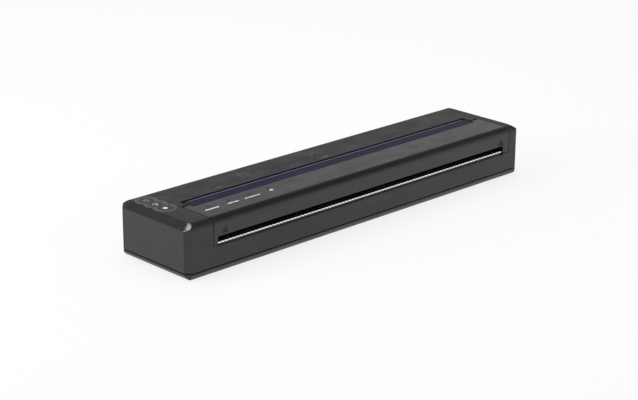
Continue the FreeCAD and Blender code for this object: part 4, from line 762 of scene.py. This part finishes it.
# %% Marks on the deck
CENTRE_X, DASH_Y, CHEVRON_Y = 0.2, 6.7, 16.4
CHEVRON_HALF, CHEVRON_TALL = 3.8, 3.6
CENTRE_DOT_BELOW, CENTRE_DOT_RADIUS = 1.6, 0.75
SHEET_X, SHEET_Y = (-55.5, -50.5), (12.0, 16.5)
sheet_corners = [(SHEET_X[0], SHEET_Y[0]), (SHEET_X[1], SHEET_Y[0]), (SHEET_X[1], SHEET_Y[1]),
                 (SHEET_X[0], SHEET_Y[1])]
chevron_tip = (CENTRE_X, CHEVRON_Y)
deck_strokes = [
    # start, end, width
    ((CENTRE_X - 0.7, DASH_Y), (CENTRE_X + 2.6, DASH_Y), 0.7),
    ((CENTRE_X - CHEVRON_HALF, CHEVRON_Y - CHEVRON_TALL), chevron_tip, 0.3),
    (chevron_tip, (CENTRE_X + CHEVRON_HALF, CHEVRON_Y - CHEVRON_TALL), 0.3),
    *[(*side, 0.28) for side in zip(sheet_corners, sheet_corners[1:] + sheet_corners[:1])],
    ((-77.2, 8.0), (-75.0, 8.0), 0.5),
]
piece_from("deck_marks", [plate(stroke(*line), TOP - INK, TOP + INK) for line in deck_strokes],
           "case", grey_ink_and_painted_edge_highlight)
centre_rim = arc((CENTRE_X, CHEVRON_Y - CENTRE_DOT_BELOW), CENTRE_DOT_RADIUS, 0, 340, 20)
piece_from("centre_dot", [plate(centre_rim, TOP - INK, TOP + INK)], "case", dark_ink)

# %% [markdown]
# ## Arrows on the cover's front
#
# At each end of the cover's front a small triangle points at the edge to lift by: a raised rim
# round a dark printed field. The rim is a bead along a triangle with blunt corners.

# %% Lift arrows
ARROWS = ((-102.3, 22.8), (111.2, 22.3))
ARROW_WIDE, ARROW_TALL, ARROW_RIM = 4.2, 3.2, 0.28


def triangle_path(x, z, wide, tall, share=0.12):
    """A triangle with each corner cut by a share of its sides, at the cover's front."""
    corners = np.array([(x - wide / 2, z - tall / 2), (x + wide / 2, z - tall / 2),
                        (x, z + tall / 2)])
    ahead, behind = np.roll(corners, -1, 0), np.roll(corners, 1, 0)
    cut = np.stack([corners + (behind - corners) * share, corners + (ahead - corners) * share], 1)
    flat = cut.reshape(-1, 2)
    return np.column_stack([flat[:, 0], np.full(len(flat), FRONT), flat[:, 1]])


piece_from("arrow_rims", [bead(triangle_path(x, z, ARROW_WIDE, ARROW_TALL)[::-1], ARROW_RIM, True,
                               up=(0, -1, 0)) for x, z in ARROWS],
           "cover", cover_plastic, True)
field_shells = []
for x, z in ARROWS:
    rim = triangle_path(x, z, ARROW_WIDE, ARROW_TALL)[:, (0, 2)]
    points, faces = plate(rim, -INK, INK)
    standing = np.column_stack([points[:, 0], FRONT - points[:, 2], points[:, 1]])
    field_shells.append((standing, faces))
piece_from("arrow_fields", field_shells, "cover", dark_ink)

# %% [markdown]
# ## Keys
#
# The three keys lie in a recess with three round lobes. Its edge catches the light as a thin pale
# line, so we lay a fine bead along the outline of three circles that overlap and colour it pale
# grey: a painted highlight. Each key has its symbol: on and off in green, feeding of the sheet,
# and a plain white dot for the third.

# %% Edge of the key recess
LOBE_RADIUS, EDGE_BEAD, EDGE_FLAT = 5.75, 0.2, 0.6
key_middles = [np.mean(box_mm(name), 0) for name in ("power_key", "feed_key", "function_key")]
key_x, key_rows = key_middles[0][0], [middle[1] for middle in key_middles]
key_top = box_mm("power_key")[1][2]
bezel_top = box_mm("keypad_bezel")[1][2]
half_pitch = (key_rows[0] - key_rows[1]) / 2
meet = math.degrees(math.asin(half_pitch / LOBE_RADIUS))
edge_path = np.concatenate([
    arc((key_x, key_rows[2]), LOBE_RADIUS, 180 - meet, 360 + meet, 40),
    arc((key_x, key_rows[1]), LOBE_RADIUS, -meet, meet, 14)[1:],
    arc((key_x, key_rows[0]), LOBE_RADIUS, -meet, 180 + meet, 40)[1:],
    arc((key_x, key_rows[1]), LOBE_RADIUS, 180 - meet, 180 + meet, 14)[1:-1]])
edge_bead = bead(raised(edge_path, bezel_top), EDGE_BEAD, True, squat=EDGE_FLAT)
# The bead's pale grey is a painted highlight on the recess edge, not ink
piece_from("key_recess_edge_highlight", [edge_bead], "case", grey_ink_and_painted_edge_highlight, True)

# %% Symbols on the keys
RING_RADIUS, DOT_RADIUS, LINE, FLATTENED = 1.35, 1.4, 0.17, 0.5
POWER_BAR = ((0.0, 0.2), (0.0, 1.9))
FEED_STROKES = (
    # start and end from the key's middle: three sides of a tray, then an arrow
    ((-1.3, -0.2), (-1.3, 1.2)), ((-1.3, 1.2), (1.3, 1.2)), ((1.3, 1.2), (1.3, -0.2)),
    ((0.0, 0.5), (0.0, -1.6)), ((-0.8, -0.8), (0.0, -1.7)), ((0.8, -0.8), (0.0, -1.7)),
)
power_y, feed_y, function_y = key_rows


def key_line(ends, middle_y):
    """A straight path of nine points on a key's top, from ends given from the key's middle."""
    return np.linspace(*(np.array(ends) + (key_x, middle_y)), 9)


def key_beads(paths):
    """A flattened bead along each of the plan paths, at the height of the keys' tops."""
    return [bead(raised(path, key_top), LINE, squat=FLATTENED) for path in paths]


piece_from("power_symbol", key_beads([arc((key_x, power_y), RING_RADIUS, 125, 415, 40),
                                      key_line(POWER_BAR, power_y)]),
           "power_button", green_ink, True)
piece_from("feed_symbol", key_beads([key_line(ends, feed_y) for ends in FEED_STROKES]),
           "feed_button", white_ink, True)
dot_rim = arc((key_x, function_y), DOT_RADIUS, 0, 345, 24)
piece_from("function_dot", [plate(dot_rim, key_top - INK, key_top + INK)], "function_button",
           white_ink)

# %% [markdown]
# ## Strip
#
# Along the strip's rear edge lies a fine bead in a pale colour: a painted highlight, which shows as
# one thin pale line along the slot.

# %% Bead along the strip
STRIP_END, EDGE_AHEAD, EDGE_RADIUS, REAR_DEPTH = 1.6, 0.3, 0.25, 0.6
strip_low, strip_high = box_mm("slot_strip")
strip_points = points_mm("slot_strip")
rear_slope = strip_points[strip_points[:, 1] > strip_high[1] - REAR_DEPTH]
edge_y, edge_z = rear_slope[rear_slope[:, 2].argmax(), 1:]
print("strip's rear top edge", round(float(edge_y), 2), round(float(edge_z), 2))
# The bead's pale colour is a painted highlight on the strip's rear edge
painted_strip_highlight = new_finish("painted_strip_highlight", (0.22, 0.23, 0.29), 0.3)
relief(painted_strip_highlight, noise_of(painted_strip_highlight, DRAW_LINES, LINES_ALONG_X, 2.0), 0.004 * MM)
edge_ends = [(x, edge_y - EDGE_AHEAD, edge_z)
             for x in (strip_low[0] + STRIP_END, strip_high[0] - STRIP_END)]
piece_from("painted_strip_highlight_line", [bead(np.linspace(*edge_ends, 60), EDGE_RADIUS, sides=8)], "cover",
           painted_strip_highlight, True)

# %% [markdown]
# ## Screws and feet
#
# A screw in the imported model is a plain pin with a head. Here each has a dished head with a
# six-lobed socket and a thread, all of it one turned profile: the tip, the thread's zigzag, the
# head's underside and edge, then in and down into the socket. The feet are turned too, with ring
# grooves in the face they stand on.

# %% Places and profiles of the screws
TIP, THREAD_CORE, SAME_HEIGHT = 0.4, 0.84, 0.01
SOCKET_WIDE, SOCKET_DEEP, SOCKET_TAPER, LOBES = 0.46, 0.6, 0.9, 0.14


def spots_of(name, axis, highest, reach=4.0):
    """Middles of the round ends of a part at one end of an axis, found by grouping near points."""
    points = points_mm(name)
    level = points[:, axis].max() if highest else points[:, axis].min()
    ends = points[np.abs(points[:, axis] - level) < SAME_HEIGHT]
    near = np.linalg.norm(ends[:, None] - ends[None], axis=2) < reach
    label = near.argmax(axis=1)
    groups = [ends[label == k] for k in np.unique(label)]
    middles = [(group.min(0) + group.max(0)) / 2 for group in groups]
    return middles, max(np.ptp(group, 0).max() for group in groups) / 2


def screw_profile(length, head, head_radius, shank, pitch=0.6):
    """Radius and height from the tip up to the socket's floor, and how lobed each row is."""
    turns = max(int((length - head - TIP) / pitch), 1)
    thread = [(shank * (1.0 if k % 2 else THREAD_CORE), TIP + pitch / 2 * k)
              for k in range(2 * turns)]
    socket, deep = SOCKET_WIDE * head_radius, SOCKET_DEEP * head
    round_part = [(shank * 0.5, 0.0), *thread, (shank, length - head), (head_radius, length - head),
                  (head_radius, length - 0.35 * head), (0.86 * head_radius, length),
                  (0.62 * head_radius, length)]
    lobed_part = [(socket, length), (SOCKET_TAPER * socket, length - deep)]
    return round_part + lobed_part, [0.0] * len(round_part) + [LOBES] * len(lobed_part)


SCREWS = (
    # node, axis, head at the high end, head length, head radius, shank radius, facing
    ("case_screws", 2, False, 1.15, 1.9, 1.1, "-Z"),
    ("chassis_screws", 2, True, 1.0, 1.7, 0.9, "+Z"),
    ("board_screws", 2, True, 1.0, 1.7, 0.9, "+Z"),
    ("cover_screws", 2, False, 1.0, 1.7, 0.9, "-Z"),
    ("motor_screws", 0, True, 1.0, 1.7, 0.9, "+X"),
)

# %% Turn the screws
for name, axis, highest, head, head_radius, shank, facing in SCREWS:
    low, high = box_mm(name)
    middles, found = spots_of(name, axis, highest)
    length = high[axis] - low[axis]
    profile, lobes = screw_profile(length, head, head_radius, shank)
    tips = np.array(middles)
    tips[:, axis] = low[axis] if highest else high[axis]
    print(name, len(middles), "found radius", round(found, 2))
    made = piece_from(f"{name}_turned", [turned(profile, tip, 24, facing, lobes) for tip in tips],
                      "cover" if name == "cover_screws" else "case", screw_steel,
                      True)
    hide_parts(name)

# %% Mould the feet
feet_low, feet_high = box_mm("rubber_feet")
foot_middles, foot_radius = spots_of("rubber_feet", 2, False, 12.0)
foot_height = feet_high[2] - feet_low[2]
GROOVE, EDGE = 0.12, 0.15
foot_profile = [(0.24, GROOVE), (0.3, 0.0), (0.46, 0.0), (0.52, GROOVE), (0.68, GROOVE),
                (0.74, 0.0), (0.9, 0.0), (0.98, EDGE), (1.0, 2 * EDGE), (1.0, foot_height)]
foot_profile = [(share * foot_radius, height) for share, height in foot_profile]
feet = piece_from("moulded_feet", [turned(foot_profile, (*middle[:2], feet_low[2]), 40)
                                   for middle in foot_middles], "case", black_rubber,
                  True)
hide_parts("rubber_feet")

# %% [markdown]
# ## Grip and heater
#
# The battery pack is drawn out by a recess in its rear wall, which has upright ribs for the
# fingernail. Inside, the thermal head carries its row of heaters under a thin bead of glaze along
# the line where the roller presses. We look for that line in the head plate's section: of its
# long sides it lies on the one nearest to the roller's middle, square below that middle.

# %% Ribs in the pack's grip
RIB_COUNT, RIB_PITCH, RIB_RADIUS, RIB_HALF, GRIP_DEPTH = 7, 3.0, 0.35, 2.0, 0.7
pack_low, pack_high = box_mm("battery_casing")
grip_middle = (pack_low + pack_high) / 2
rib_y = pack_high[1] - GRIP_DEPTH
rib_foot, rib_head = grip_middle[2] - RIB_HALF, grip_middle[2] + RIB_HALF
rib_places = grip_middle[0] + RIB_PITCH * (np.arange(RIB_COUNT) - (RIB_COUNT - 1) / 2)
piece_from("grip_ribs", [bead(np.linspace((x, rib_y, rib_foot), (x, rib_y, rib_head), 15),
                              RIB_RADIUS, up=(0, 1, 0)) for x in rib_places],
           "battery", case_plastic, True)

# %% Glaze line on the head
GLAZE_END, GLAZE_RADIUS, GLAZE_FLAT = 3.0, 0.45, 0.3
plate_points = points_mm("head_substrate")
roller_middle = np.mean(box_mm("platen_rubber"), 0)
section = np.unique(plate_points[:, 1:].round(3), axis=0)
first, second = np.triu_indices(len(section), 1)
side = section[second] - section[first]
width = np.linalg.norm(side, axis=1)
along = side / width[:, None]
to_roller = roller_middle[1:] - section[first]
feet_on_side = section[first] + along * (to_roller * along).sum(1)[:, None]
away = np.linalg.norm(roller_middle[1:] - feet_on_side, axis=1)
nip = feet_on_side[np.where(width > width.max() / 2, away, np.inf).argmin()]
plate_low, plate_high = box_mm("head_substrate")
glaze = new_finish("glaze", (0.10, 0.065, 0.03), 0.08)
tint(glaze, stripes_of(glaze, 4000.0, "X"), (0.10, 0.065, 0.03), (0.05, 0.03, 0.015))
out_of_face = (roller_middle[1:] - nip) / np.linalg.norm(roller_middle[1:] - nip)
glaze_path = np.linspace((plate_low[0] + GLAZE_END, *nip), (plate_high[0] - GLAZE_END, *nip), 30)
piece_from("heater_glaze", [bead(glaze_path, GLAZE_RADIUS, squat=GLAZE_FLAT,
                                 up=(0, *out_of_face))], "head", glaze, True)
print("heaters under the roller at", nip.round(2))
